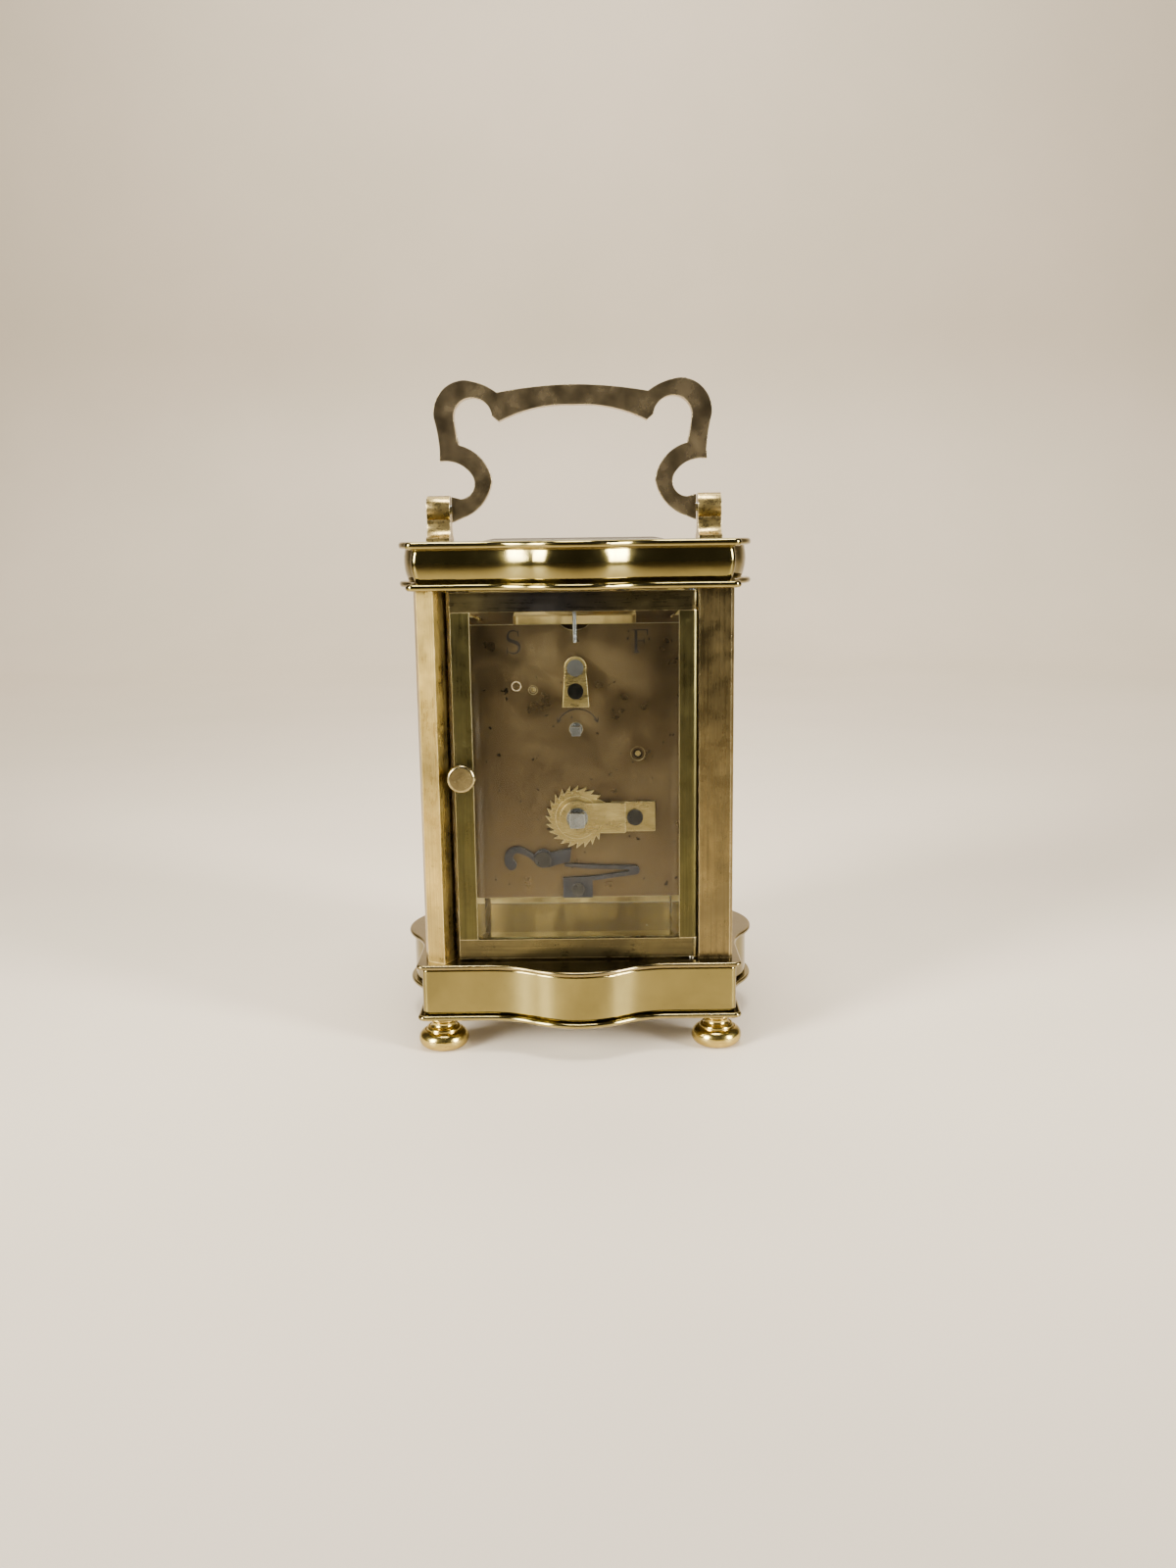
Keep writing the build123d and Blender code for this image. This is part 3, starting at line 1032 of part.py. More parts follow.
# ================================================================ motion work, dial and hands
DIAL_Y0 = 19.0
DIAL_Y1 = 20.1
MASK_Y0 = 20.1
MASK_Y1 = 21.0
MASK_OPENING_R = 23.0
HOUR_HAND_Y = 21.8
MINUTE_HAND_Y = 23.2
HAND_THICK = 0.4

with BuildPart() as minute_wheel:
    wheel_teeth(MINUTE, 13.2, 14.0, MINUTE_TEETH, CANNON_MODULE, TO_MINUTE + 180 + 180 / MINUTE_TEETH)
    pinion_leaves(MINUTE, 14.0, 15.9, MINUTE_LEAVES, HOUR_MODULE, TO_MINUTE + 180)
    turned(MINUTE, (FRONT_Y0 + 0.3, 13.2, 0.85))
save(minute_wheel.part, "minute_wheel")

with BuildPart() as hour_wheel:
    wheel_teeth(CENTRE, 14.7, 15.5, HOUR_TEETH, HOUR_MODULE, TO_MINUTE + 180 / HOUR_TEETH)
    turned(CENTRE, (14.5, 22.3, 1.75))
    turned(CENTRE, (14, 23, 1.0 + SLACK), mode=Mode.SUBTRACT)
save(hour_wheel.part, "hour_wheel")

with BuildPart() as dial:
    turned(CENTRE, (DIAL_Y0, DIAL_Y1, MASK_OPENING_R + 1.6))
    turned(CENTRE, (DIAL_Y0 - 1, DIAL_Y1 + 1, 2.4), mode=Mode.SUBTRACT)
    for turn in (55, 175, 295):
        spot = (CENTRE[0] + 19 * cos(radians(turn)), CENTRE[1] + 19 * sin(radians(turn)))
        turned(spot, (FRONT_Y1, DIAL_Y0, 0.8))
save(dial.part, "dial")

with BuildPart() as dial_mask:
    block((-29.3, MASK_Y0, FLOOR_Z + 0.2), (29.3, MASK_Y1, CORNICE_Z - 0.2))
    turned(CENTRE, (MASK_Y0 - 1, MASK_Y1 + 1, MASK_OPENING_R), mode=Mode.SUBTRACT)
save(dial_mask.part, "dial_mask")


def hand(y0, length, boss, bore, clock_angle, ring_at):
    """A hand with a round boss, a pierced ring and a fine tip, pointing clock_angle degrees past twelve."""
    with BuildSketch(facing_front(y0)) as outline:
        with Locations(Location((-CENTRE[0], CENTRE[1], 0), (0, 0, -clock_angle))):
            Circle(boss)
            with Locations((0, ring_at)):
                Circle(1.7)
            Polygon((-0.7, 0), (0.7, 0), (0.45, ring_at), (-0.45, ring_at), align=None)
            Polygon((-0.5, ring_at + 1.2), (0.5, ring_at + 1.2), (0.1, length), (-0.1, length), align=None)
            with Locations((0, ring_at)):
                Circle(1.0, mode=Mode.SUBTRACT)
            Circle(bore, mode=Mode.SUBTRACT)
    extrude(outline.sketch, amount=HAND_THICK)


with BuildPart() as hour_hand:
    hand(HOUR_HAND_Y, 14.0, 2.5, 1.75, 305, 9.5)
save(hour_hand.part, "hour_hand")

with BuildPart() as minute_hand:
    hand(MINUTE_HAND_Y, 20.5, 2.0, 1.0, 60, 14.5)
save(minute_hand.part, "minute_hand")
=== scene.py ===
import math

import bmesh
import bpy
from mathutils import Matrix, Vector


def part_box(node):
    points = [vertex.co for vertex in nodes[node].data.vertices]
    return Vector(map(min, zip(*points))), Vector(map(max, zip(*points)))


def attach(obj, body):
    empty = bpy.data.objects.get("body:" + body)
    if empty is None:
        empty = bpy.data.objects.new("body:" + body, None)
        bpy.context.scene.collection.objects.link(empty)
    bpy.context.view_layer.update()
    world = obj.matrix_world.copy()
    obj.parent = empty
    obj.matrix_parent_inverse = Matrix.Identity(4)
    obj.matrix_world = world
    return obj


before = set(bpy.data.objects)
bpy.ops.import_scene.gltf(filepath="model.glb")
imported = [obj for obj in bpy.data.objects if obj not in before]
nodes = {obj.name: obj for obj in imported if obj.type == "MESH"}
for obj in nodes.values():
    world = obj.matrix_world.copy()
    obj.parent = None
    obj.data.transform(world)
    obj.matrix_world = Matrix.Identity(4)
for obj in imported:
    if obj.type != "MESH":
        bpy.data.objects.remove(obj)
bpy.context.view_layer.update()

# Carriage clock: materials, engraving, dial printing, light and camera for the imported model.
# Metres, +Z up; -Y is the rear with the door and +Y the dial side.

MM = 0.001
scene = bpy.context.scene


# ------------------------------------------------------------------ node helpers
class Net:
    """A material's node tree, with short calls for adding nodes and wiring them."""

    def __init__(self, name):
        self.material = bpy.data.materials.new(name)
        self.material.use_nodes = True
        self.tree = self.material.node_tree
        self.tree.nodes.clear()
        self.coords = self.add("ShaderNodeTexCoord").outputs["Object"]

    def add(self, kind, **settings):
        node = self.tree.nodes.new(kind)
        for key, value in settings.items():
            setattr(node, key, value)
        return node

    def wire(self, source, target):
        self.tree.links.new(source, target)

    def spread(self, stretch=(1, 1, 1), turn=(0, 0, 0)):
        """Object coordinates in millimetres, stretched along each axis."""
        mapping = self.add("ShaderNodeMapping")
        mapping.inputs["Scale"].default_value = [1000 * s for s in stretch]
        mapping.inputs["Rotation"].default_value = turn
        self.wire(self.coords, mapping.inputs["Vector"])
        return mapping.outputs["Vector"]

    def noise(self, scale, detail=3.0, stretch=(1, 1, 1), distortion=0.0, rough=0.55):
        """Noise whose features are about 1 / scale millimetres across."""
        node = self.add("ShaderNodeTexNoise")
        node.inputs["Scale"].default_value = scale
        node.inputs["Detail"].default_value = detail
        node.inputs["Roughness"].default_value = rough
        node.inputs["Distortion"].default_value = distortion
        self.wire(self.spread(stretch), node.inputs["Vector"])
        return node.outputs["Fac"]

    def ramp(self, value, start, end, low=0.0, high=1.0):
        """Maps start..end of a value to low..high, clamped."""
        node = self.add("ShaderNodeMapRange")
        for name, number in (
            ("From Min", start), ("From Max", end), ("To Min", low), ("To Max", high),
        ):
            node.inputs[name].default_value = number
        self.wire(value, node.inputs["Value"])
        return node.outputs["Result"]

    def blend(self, share, first, second):
        """Mixes two colours, or sockets, by a share."""
        node = self.add("ShaderNodeMix", data_type="RGBA")
        for name, value in (("A", first), ("B", second)):
            socket = [i for i in node.inputs if i.name == name and i.type == "RGBA"][0]
            if isinstance(value, (tuple, list)):
                socket.default_value = (*value, 1.0)
            else:
                self.wire(value, socket)
        if isinstance(share, (int, float)):
            node.inputs[0].default_value = share
        else:
            self.wire(share, node.inputs[0])
        return [o for o in node.outputs if o.type == "RGBA"][0]

    def math(self, operation, first, second=None):
        node = self.add("ShaderNodeMath", operation=operation)
        node.use_clamp = operation == "ADD"
        for socket, value in zip(node.inputs, (first, second)):
            if value is None:
                continue
            if isinstance(value, (int, float)):
                socket.default_value = value
            else:
                self.wire(value, socket)
        return node.outputs[0]

    def disc(self, x, z, inner, outer):
        """1 within inner millimetres of a line along Y through (x, z), fading to 0 at outer."""
        flat = self.add("ShaderNodeVectorMath", operation="MULTIPLY")
        flat.inputs[1].default_value = (1.0, 0.0, 1.0)
        self.wire(self.coords, flat.inputs[0])
        away = self.add("ShaderNodeVectorMath", operation="DISTANCE")
        away.inputs[1].default_value = (x * MM, 0.0, z * MM)
        self.wire(flat.outputs["Vector"], away.inputs[0])
        return self.ramp(away.outputs["Value"], inner * MM, outer * MM, 1.0, 0.0)

    def edges(self, radius, sharp=0.06):
        """1 along edges whose rounding is about radius millimetres, 0 on faces."""
        bevel = self.add("ShaderNodeBevel")
        bevel.samples = 4
        bevel.inputs["Radius"].default_value = radius * MM
        true = self.add("ShaderNodeNewGeometry").outputs["Normal"]
        dot = self.add("ShaderNodeVectorMath", operation="DOT_PRODUCT")
        self.wire(bevel.outputs["Normal"], dot.inputs[0])
        self.wire(true, dot.inputs[1])
        return self.ramp(dot.outputs["Value"], 1.0 - 0.01, 1.0 - sharp)

    def bump(self, height, distance, strength=1.0, under=None):
        node = self.add("ShaderNodeBump")
        node.inputs["Distance"].default_value = distance * MM
        node.inputs["Strength"].default_value = strength
        self.wire(height, node.inputs["Height"])
        if under is not None:
            self.wire(under, node.inputs["Normal"])
        return node.outputs["Normal"]

    def shader(self, **sockets):
        """A Principled shader; a number or colour is set on its own socket, anything else is wired."""
        node = self.add("ShaderNodeBsdfPrincipled")
        for name, value in sockets.items():
            socket = node.inputs[name.replace("_", " ")]
            if isinstance(value, bpy.types.NodeSocket):
                self.wire(value, socket)
            elif isinstance(value, (tuple, list)):
                socket.default_value = (*value, 1.0)
            else:
                socket.default_value = value
        return node.outputs["BSDF"]

    def close(self, surface):
        out = self.add("ShaderNodeOutputMaterial")
        self.wire(surface, out.inputs["Surface"])
        return self.material


def metal(
    name, bright, dull, rough, patch=0.06, brush=None, specks=0.0,
    highlight_radius=0.0, highlight_colour=(1, 1, 1), scratch=0.5, mottle=0.35, spots=(),
):
    """An aged metal: patches of tarnish, specks, a painted highlight along rounded edges, and
    scratches or a brushed grain.

    A spot is (x, z, inner radius, outer radius, colour, share) in millimetres, seen along Y.
    """
    net = Net(name)
    patches = net.ramp(net.noise(patch, 5.0, distortion=0.6), 0.38, 0.66)
    colour = net.blend(patches, bright, dull)
    cloud = net.ramp(net.noise(patch * 7, 4.0), 0.3, 0.75, 0.0, mottle)
    colour = net.blend(cloud, colour, tuple(c * 0.62 for c in dull))
    roughness = net.ramp(net.noise(patch * 4, 4.0), 0.3, 0.7, rough * 0.75, rough * 1.35)
    fine = net.noise(3.2, 2.0)
    if brush is not None:
        grain = net.noise(1.0, 3.0, brush)
        colour = net.blend(
            net.ramp(grain, 0.35, 0.72, 0.0, 0.55), colour, tuple(c * 0.5 for c in dull),
        )
        roughness = net.math("ADD", roughness, net.ramp(grain, 0.3, 0.7, 0.0, 0.12))
        normal = net.bump(grain, 0.012 * scratch)
    else:
        hair = net.noise(0.9, 2.0, (0.5, 6.0, 2.2), distortion=0.3)
        normal = net.bump(hair, 0.006 * scratch)
    normal = net.bump(fine, 0.004 * scratch, under=normal)
    if specks:
        dots = net.ramp(net.noise(0.55, 2.0), 0.70, 0.735)
        dots = net.math("MULTIPLY", dots, specks)
        colour = net.blend(dots, colour, tuple(c * 0.12 for c in dull))
        roughness = net.math("ADD", roughness, net.math("MULTIPLY", dots, 0.35))
    for x, z, inner, outer, tint, share in spots:
        colour = net.blend(net.math("MULTIPLY", net.disc(x, z, inner, outer), share), colour, tint)
    # painted highlight: rounded edges are mixed towards a lighter colour, as if they caught the light
    if highlight_radius:
        painted_highlight = net.edges(highlight_radius)
        colour = net.blend(net.math("MULTIPLY", painted_highlight, 0.8), colour, highlight_colour)
    return net.close(
        net.shader(Base_Color=colour, Metallic=1.0, Roughness=roughness, Normal=normal)
    )


def dark_steel(name, colour, rough, metallic=0.9):
    """Blued and blackened steel with brown bloom and a dull sheen."""
    net = Net(name)
    bloom = net.ramp(net.noise(0.5, 4.0), 0.45, 0.75, 0.0, 0.6)
    tint = net.blend(bloom, colour, (0.035, 0.024, 0.018))
    roughness = net.ramp(net.noise(1.3, 3.0), 0.3, 0.7, rough * 0.7, rough * 1.4)
    normal = net.bump(net.noise(2.6, 3.0), 0.010)
    return net.close(
        net.shader(
            Base_Color=tint, Metallic=metallic, Roughness=roughness, Normal=normal,
            Specular_IOR_Level=0.2,
        )
    )


def clear_glass(name, tint, haze=0.004):
    """A pane with faint smears; lamps shine through it, so the movement behind stays lit."""
    net = Net(name)
    smear = net.ramp(net.noise(0.07, 4.0, distortion=0.8), 0.5, 0.85, 0.0, haze)
    pane = net.shader(
        Base_Color=tint, Roughness=smear, IOR=1.22, Transmission_Weight=1.0
    )
    open_way = net.add("ShaderNodeBsdfTransparent")
    open_way.inputs["Color"].default_value = (0.9, 0.93, 0.9, 1.0)
    path = net.add("ShaderNodeLightPath")
    mixed = net.add("ShaderNodeMixShader")
    net.wire(path.outputs["Is Shadow Ray"], mixed.inputs[0])
    net.wire(pane, mixed.inputs[1])
    net.wire(open_way.outputs[0], mixed.inputs[2])
    return net.close(mixed.outputs[0])


def enamel(name, colour):
    """White vitreous enamel with faint grey ripples and fine pits."""
    net = Net(name)
    tone = net.blend(
        net.ramp(net.noise(0.12, 3.0), 0.35, 0.7), colour, tuple(c * 0.93 for c in colour),
    )
    pits = net.ramp(net.noise(2.2, 2.0), 0.74, 0.78, 0.0, 0.5)
    tone = net.blend(pits, tone, (0.25, 0.22, 0.18))
    roughness = net.ramp(net.noise(0.4, 2.0), 0.3, 0.7, 0.10, 0.2)
    normal = net.bump(net.noise(0.2, 2.0), 0.02)
    return net.close(
        net.shader(
            Base_Color=tone, Roughness=roughness, Normal=normal, Coat_Weight=0.5,
            Coat_Roughness=0.05,
        ),
    )


def inlay(name, colour, rough=0.6):
    """Dark wax or dirt that fills engraving and printing."""
    net = Net(name)
    tone = net.blend(
        net.ramp(net.noise(1.4, 3.0), 0.35, 0.7), colour, tuple(c * 1.8 + 0.002 for c in colour),
    )
    return net.close(
        net.shader(
            Base_Color=tone, Roughness=net.ramp(net.noise(2.0, 2.0), 0.3, 0.7, rough * 0.8, rough),
            Specular_IOR_Level=0.08,
        ),
    )


# Painted shade: the base colours of the mouldings, the base plate top, the pillars and the door frame
# and rails are darkened well below their brass, standing in for the dark room they reflect.
LOOKS = {
    "moulding": metal(
        "polished_mouldings", (0.29, 0.236, 0.08), (0.206, 0.166, 0.058), 0.12, 0.04, specks=0.2,
        highlight_radius=0.5, highlight_colour=(0.98, 0.80, 0.42), scratch=0.5, mottle=0.15,
    ),
    "floor": metal(
        "base_plate_top", (0.217, 0.164, 0.059), (0.147, 0.112, 0.042), 0.2, 0.03, specks=0.15,
        highlight_radius=0.5, highlight_colour=(0.92, 0.76, 0.42), scratch=0.2, mottle=0.1,
    ),
    "feet": metal(
        "turned_feet", (0.70, 0.53, 0.15), (0.46, 0.35, 0.10), 0.13, 0.12, (0.4, 0.4, 7.0),
        highlight_radius=0.3, highlight_colour=(1.0, 0.82, 0.42),
    ),
    # painted light: the rear left pillar is a lighter, more golden copy of the pillar brass below,
    # standing in for the window light it reflects
    "pillar_left": metal(
        "pillar_brass_painted_lit", (0.619, 0.432, 0.115), (0.331, 0.238, 0.072), 0.24, 0.05, (3.2, 3.2, 0.03),
        specks=0.3, highlight_radius=0.35, highlight_colour=(0.98, 0.76, 0.32),
    ),
    "pillar_right": metal(
        "pillar_brass", (0.337, 0.252, 0.103), (0.196, 0.15, 0.065), 0.22, 0.05, (2.4, 2.4, 0.03),
        specks=0.3, highlight_radius=0.35, highlight_colour=(0.95, 0.78, 0.42),
    ),
    "door": metal(
        "door_frame_brass", (0.129, 0.112, 0.038), (0.083, 0.071, 0.027), 0.26, 0.04,
        (1.6, 1.6, 0.05), specks=0.4, highlight_radius=0.25, highlight_colour=(0.8, 0.66, 0.34), mottle=0.25,
    ),
    "rail": metal(
        "door_rail_brass", (0.171, 0.138, 0.056), (0.09, 0.073, 0.034), 0.24, 0.04,
        (0.05, 1.6, 1.6), specks=0.4, highlight_radius=0.25, highlight_colour=(0.8, 0.66, 0.34), mottle=0.25,
        spots=((-6.0, 111.5, 4.0, 19.0, (0.045, 0.045, 0.05), 0.85),),
    ),
    "handle": metal(
        "handle_brass", (0.46, 0.355, 0.195), (0.40, 0.305, 0.172), 0.24, 0.04, specks=0.05,
        highlight_radius=0.5, highlight_colour=(0.98, 0.84, 0.5), scratch=0.6, mottle=0.05,
    ),
    "post": metal(
        "post_brass", (0.52, 0.384, 0.143), (0.338, 0.254, 0.098), 0.22, 0.1, (2.0, 0.2, 2.0),
        specks=0.3, highlight_radius=0.35, highlight_colour=(0.98, 0.84, 0.48), mottle=0.2,
    ),
    # painted shade: the back plate brass is darkened far below the bridge and cock brass, for the
    # shade inside the case behind the door
    "plate": metal(
        "back_plate_brass", (0.12, 0.081, 0.039), (0.093, 0.062, 0.032), 0.34, 0.03, specks=1.0,
        highlight_radius=0.2, highlight_colour=(0.75, 0.58, 0.28), scratch=0.8, mottle=0.06,
        spots=(
            (15.2, 72.5, 1.0, 1.3, (0.01, 0.008, 0.006), 0.97),
            (-10.4, 88.6, 0.5, 0.9, (0.5, 0.4, 0.25), 0.7),
        ),
    ),
    "bridge": metal(
        "bridge_brass", (0.462, 0.341, 0.132), (0.33, 0.242, 0.094), 0.24, 0.08, (0.3, 2.4, 2.4),
        specks=0.4, highlight_radius=0.2, highlight_colour=(0.98, 0.80, 0.42), mottle=0.25,
    ),
    "knob": metal(
        "knob_brass", (0.408, 0.33, 0.15), (0.264, 0.21, 0.096), 0.22, 0.3, specks=0.8, highlight_radius=0.4,
        highlight_colour=(0.95, 0.82, 0.46), mottle=0.2,
    ),
    "train": metal(
        "train_brass", (0.68, 0.51, 0.204), (0.468, 0.34, 0.136), 0.24, 0.15, specks=0.2, highlight_radius=0.12,
        highlight_colour=(0.95, 0.78, 0.42),
    ),
    "gilt": metal(
        "mask_gilt", (0.688, 0.52, 0.224), (0.56, 0.4, 0.152), 0.40, 0.08, specks=0.1, scratch=0.5,
    ),
    "steel": metal(
        "grey_steel", (0.34, 0.34, 0.34), (0.26, 0.26, 0.265), 0.22, 0.4, specks=0.0, highlight_radius=0.2,
        highlight_colour=(0.8, 0.8, 0.8), mottle=0.1,
    ),
    "black": dark_steel("blackened_steel", (0.010, 0.009, 0.010), 0.35, 0.1),
    "screws": metal(
        "screw_steel", (0.05, 0.047, 0.045), (0.03, 0.028, 0.026), 0.2, 0.6, specks=0.3, highlight_radius=0.1,
        highlight_colour=(0.35, 0.33, 0.3), spots=((0.0, 94.1, 2.2, 2.4, (0.42, 0.42, 0.43), 1.0),),
    ),
    "blue": dark_steel("blued_steel", (0.02, 0.035, 0.13), 0.2, 1.0),
    "glass": clear_glass("case_glass", (0.95, 0.985, 0.96)),
    "enamel": enamel("dial_enamel", (0.86, 0.84, 0.78)),
    "ink": inlay("dial_ink", (0.012, 0.012, 0.016), 0.4),
    "wax": inlay("engraving_dirt", (0.010, 0.007, 0.005), 0.9),
    "mark": inlay("faint_ring", (0.22, 0.16, 0.10), 0.4),
}

FINISH = {
    "base_lower_frame": "moulding", "base_band": "moulding", "base_plate": "floor", "feet": "feet",
    "cornice_plate": "moulding", "cornice_band": "moulding", "top_plate": "moulding",
    "top_glass": "glass", "pillar_rear_right": "pillar_right", "pillar_rear_left": "pillar_left",
    "pillars_front": "pillar_right", "front_glass": "glass", "side_glasses": "glass",
    "case_screws": "steel", "handle_posts": "post", "dial_mask": "gilt", "dial": "enamel",
    "back_plate": "plate", "front_plate": "plate", "movement_pillars": "train",
    "plate_screws": "screws", "movement_feet": "plate", "ratchet_bridge": "bridge",
    "click_spring": "black", "contrate_cock": "bridge", "contrate_potence": "train",
    "small_screws": "screws", "platform": "gilt", "escape_potence": "train", "escape_cock": "gilt",
    "balance_cock": "gilt", "handle": "handle", "handle_pivots": "steel",
    "door_hinge_stile": "door", "door_knob_stile": "door", "door_bottom_rail": "rail",
    "door_top_rail": "rail", "door_glass": "glass", "door_knob": "knob", "door_hinge_pins": "steel",
    "barrel": "train", "barrel_cap": "train", "mainspring": "black", "barrel_arbor": "steel",
    "ratchet_wheel": "bridge", "click": "black", "intermediate_wheel": "train",
    "centre_wheel": "train", "centre_arbor": "steel", "minute_hand": "blue", "third_wheel": "train",
    "contrate_wheel": "train", "escape_wheel": "steel", "lever": "steel", "balance_wheel": "train",
    "balance_spring": "blue", "regulator": "steel", "minute_wheel": "train", "hour_wheel": "train",
    "hour_hand": "blue",
}
for node_name, look in FINISH.items():
    mesh = nodes[node_name].data
    mesh.materials.clear()
    mesh.materials.append(LOOKS[look])

# Rounded edges: width of the rounding in millimetres for each CAD node that gets one.
ROUNDING = {
    "handle": 0.55, "handle_posts": 0.35, "pillar_rear_left": 0.18, "pillar_rear_right": 0.12,
    "pillars_front": 0.12, "door_hinge_stile": 0.12, "door_knob_stile": 0.12,
    "door_bottom_rail": 0.1, "door_top_rail": 0.1, "ratchet_bridge": 0.12, "contrate_cock": 0.15,
    "click": 0.12, "click_spring": 0.12, "platform": 0.1, "balance_cock": 0.12,
}


def soften(node_name, width):
    """Rounds a CAD node's sharp edges with modifiers; its own mesh data is left unchanged."""
    piece = nodes[node_name]
    weld = piece.modifiers.new("weld", "WELD")
    weld.merge_threshold = 0.002 * MM
    bevel = piece.modifiers.new("round", "BEVEL")
    bevel.width = width * MM
    bevel.segments = 3
    bevel.limit_method = "ANGLE"
    bevel.angle_limit = math.radians(38)
    bevel.harden_normals = True
    bevel.use_clamp_overlap = True


for node_name, width in ROUNDING.items():
    soften(node_name, width)


# ------------------------------------------------------------------ flat engraved and printed pieces
def rear_point(y):
    """Maps X and Z in millimetres to a point on a plane that faces the rear."""
    return lambda x, z: Vector((x, y, z)) * MM


def dial_point(y):
    """The same for the dial side, with x to the right as the reader sees it."""
    return lambda x, z: Vector((-x, y, z)) * MM


def strips(name, place, shapes, look, body, thickness=0.02, toward=-1):
    """One mesh from closed outlines in a plane, each given a little thickness outward."""
    bm = bmesh.new()
    for outline in shapes:
        points = [place(x, z) for x, z in outline]
        back = [bm.verts.new(p) for p in points]
        front = [bm.verts.new(p + Vector((0, toward * thickness * MM, 0))) for p in points]
        bm.faces.new(front)
        bm.faces.new(list(reversed(back)))
        count = len(points)
        for i in range(count):
            bm.faces.new((back[i], back[(i + 1) % count], front[(i + 1) % count], front[i]))
    bmesh.ops.recalc_face_normals(bm, faces=bm.faces)
    mesh = bpy.data.meshes.new(name)
    bm.to_mesh(mesh)
    bm.free()
    piece = bpy.data.objects.new(name, mesh)
    scene.collection.objects.link(piece)
    mesh.materials.append(LOOKS[look])
    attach(piece, body)
    return piece


def ribbon(path, widths):
    """Quads along a path; widths are full widths at its points."""
    left, right = [], []
    for i, (x, z) in enumerate(path):
        before = path[max(i - 1, 0)]
        after = path[min(i + 1, len(path) - 1)]
        dx, dz = after[0] - before[0], after[1] - before[1]
        size = math.hypot(dx, dz) or 1.0
        nx, nz = -dz / size, dx / size
        half = widths[i] / 2
        left.append((x + nx * half, z + nz * half))
        right.append((x - nx * half, z - nz * half))
    return [
        (left[i], left[i + 1], right[i + 1], right[i]) for i in range(len(path) - 1)
    ]


def arc(centre, radius, start, end, steps=24):
    return [
        (
            centre[0] + radius * math.cos(math.radians(start + (end - start) * i / steps)),
            centre[1] + radius * math.sin(math.radians(start + (end - start) * i / steps)),
        )
        for i in range(steps + 1)
    ]


def bar(x0, z0, x1, z1):
    return ((x0, z0), (x1, z0), (x1, z1), (x0, z1))


plate_low, plate_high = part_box("back_plate")
PLATE_TOP = plate_high.z / MM
ENGRAVED_Y = plate_low.y / MM + 0.004
on_plate = rear_point(ENGRAVED_Y)


def letter_f(x, z, height):
    """A roman capital F with its lower left corner at (x, z)."""
    s = height / 6.0
    return [
        bar(x + 0.55 * s, z + 0.25 * s, x + 1.3 * s, z + 5.75 * s),
        bar(x, z, x + 1.95 * s, z + 0.25 * s),
        bar(x, z + 5.75 * s, x + 4.0 * s, z + 6.0 * s),
        bar(x + 3.72 * s, z + 4.55 * s, x + 4.0 * s, z + 5.75 * s),
        bar(x + 1.3 * s, z + 2.95 * s, x + 3.0 * s, z + 3.2 * s),
        bar(x + 2.85 * s, z + 2.35 * s, x + 3.1 * s, z + 3.8 * s),
    ]


def letter_s(x, z, height):
    """A roman capital S, two bowls of unequal size, thick through the middle."""
    s = height / 6.0
    upper = arc((x + 1.85 * s, z + 4.5 * s), 1.38 * s, 25, 230, 18)
    lower = arc((x + 1.85 * s, z + 1.6 * s), 1.5 * s, 50, -155, 18)
    path = upper + lower
    count = len(path)
    widths = []
    for i in range(count):
        middle = 1 - abs(2 * i / (count - 1) - 1)
        widths.append((0.2 + 0.75 * middle ** 1.5) * s)
    shapes = ribbon(path, widths)
    shapes.append(bar(x + 3.0 * s, z + 4.35 * s, x + 3.25 * s, z + 5.95 * s))
    shapes.append(bar(x + 0.2 * s, z + 0.05 * s, x + 0.45 * s, z + 1.7 * s))
    return shapes


strips("letter_slow", on_plate, letter_s(-16.8, PLATE_TOP - 7.1, 5.8), "wax", "case", 0.012)
strips("letter_fast", on_plate, letter_f(14.0, PLATE_TOP - 7.2, 5.7), "wax", "case", 0.012)

# the arc over the hand-setting square, with a barbed arrow at each end
SET_CENTRE = (0.4, PLATE_TOP - 26.1)
SET_RADIUS = 5.3
SET_FROM, SET_TO = 22, 158
arrows = ribbon(arc(SET_CENTRE, SET_RADIUS, SET_FROM, SET_TO, 40), [0.3] * 41)
for side, bearing in ((-1, SET_TO), (1, SET_FROM)):
    tip = arc(SET_CENTRE, SET_RADIUS, bearing, bearing, 1)[0]
    for lean in (-28, 28):
        direction = math.radians(bearing + side * 90 + lean)
        barb = (tip[0] + 1.3 * math.cos(direction), tip[1] + 1.3 * math.sin(direction))
        arrows += ribbon([tip, barb], [0.34, 0.2])
strips("hand_set_arrows", on_plate, arrows, "wax", "case", 0.012)
strips(
    "tool_mark_ring", on_plate,
    ribbon(arc((-14.5, PLATE_TOP - 15.0), 1.1, 0, 360, 36), [0.22] * 37), "mark", "case", 0.008,
)

# ------------------------------------------------------------------ dial printing
dial_low, dial_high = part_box("dial")
centre_x = (dial_low.x + dial_high.x) / 2 / MM
centre_z = (dial_low.z + dial_high.z) / 2 / MM
on_dial = dial_point(dial_high.y / MM - 0.003)


def spun(points, clock_degrees, radius=0.0):
    """Points drawn upright at twelve o'clock, moved out by radius and turned clockwise."""
    a = math.radians(clock_degrees)
    moved = []
    for x, z in points:
        z += radius
        moved.append(
            (
                x * math.cos(a) + z * math.sin(a) - centre_x,
                -x * math.sin(a) + z * math.cos(a) + centre_z,
            ),
        )
    return moved


def stroke(x0, z0, x1, z1, width):
    half = width / 2
    return [(x0 - half, z0), (x0 + half, z0), (x1 + half, z1), (x1 - half, z1)]


NUMERAL_FOOT_RADIUS = 14.2
TRACK_INNER = 20.0
TRACK_OUTER = 21.4
NUMERALS = ("XII", "I", "II", "III", "IIII", "V", "VI", "VII", "VIII", "IX", "X", "XI")
TALL = 4.4
WIDE = {"I": 1.05, "V": 2.5, "X": 2.5}


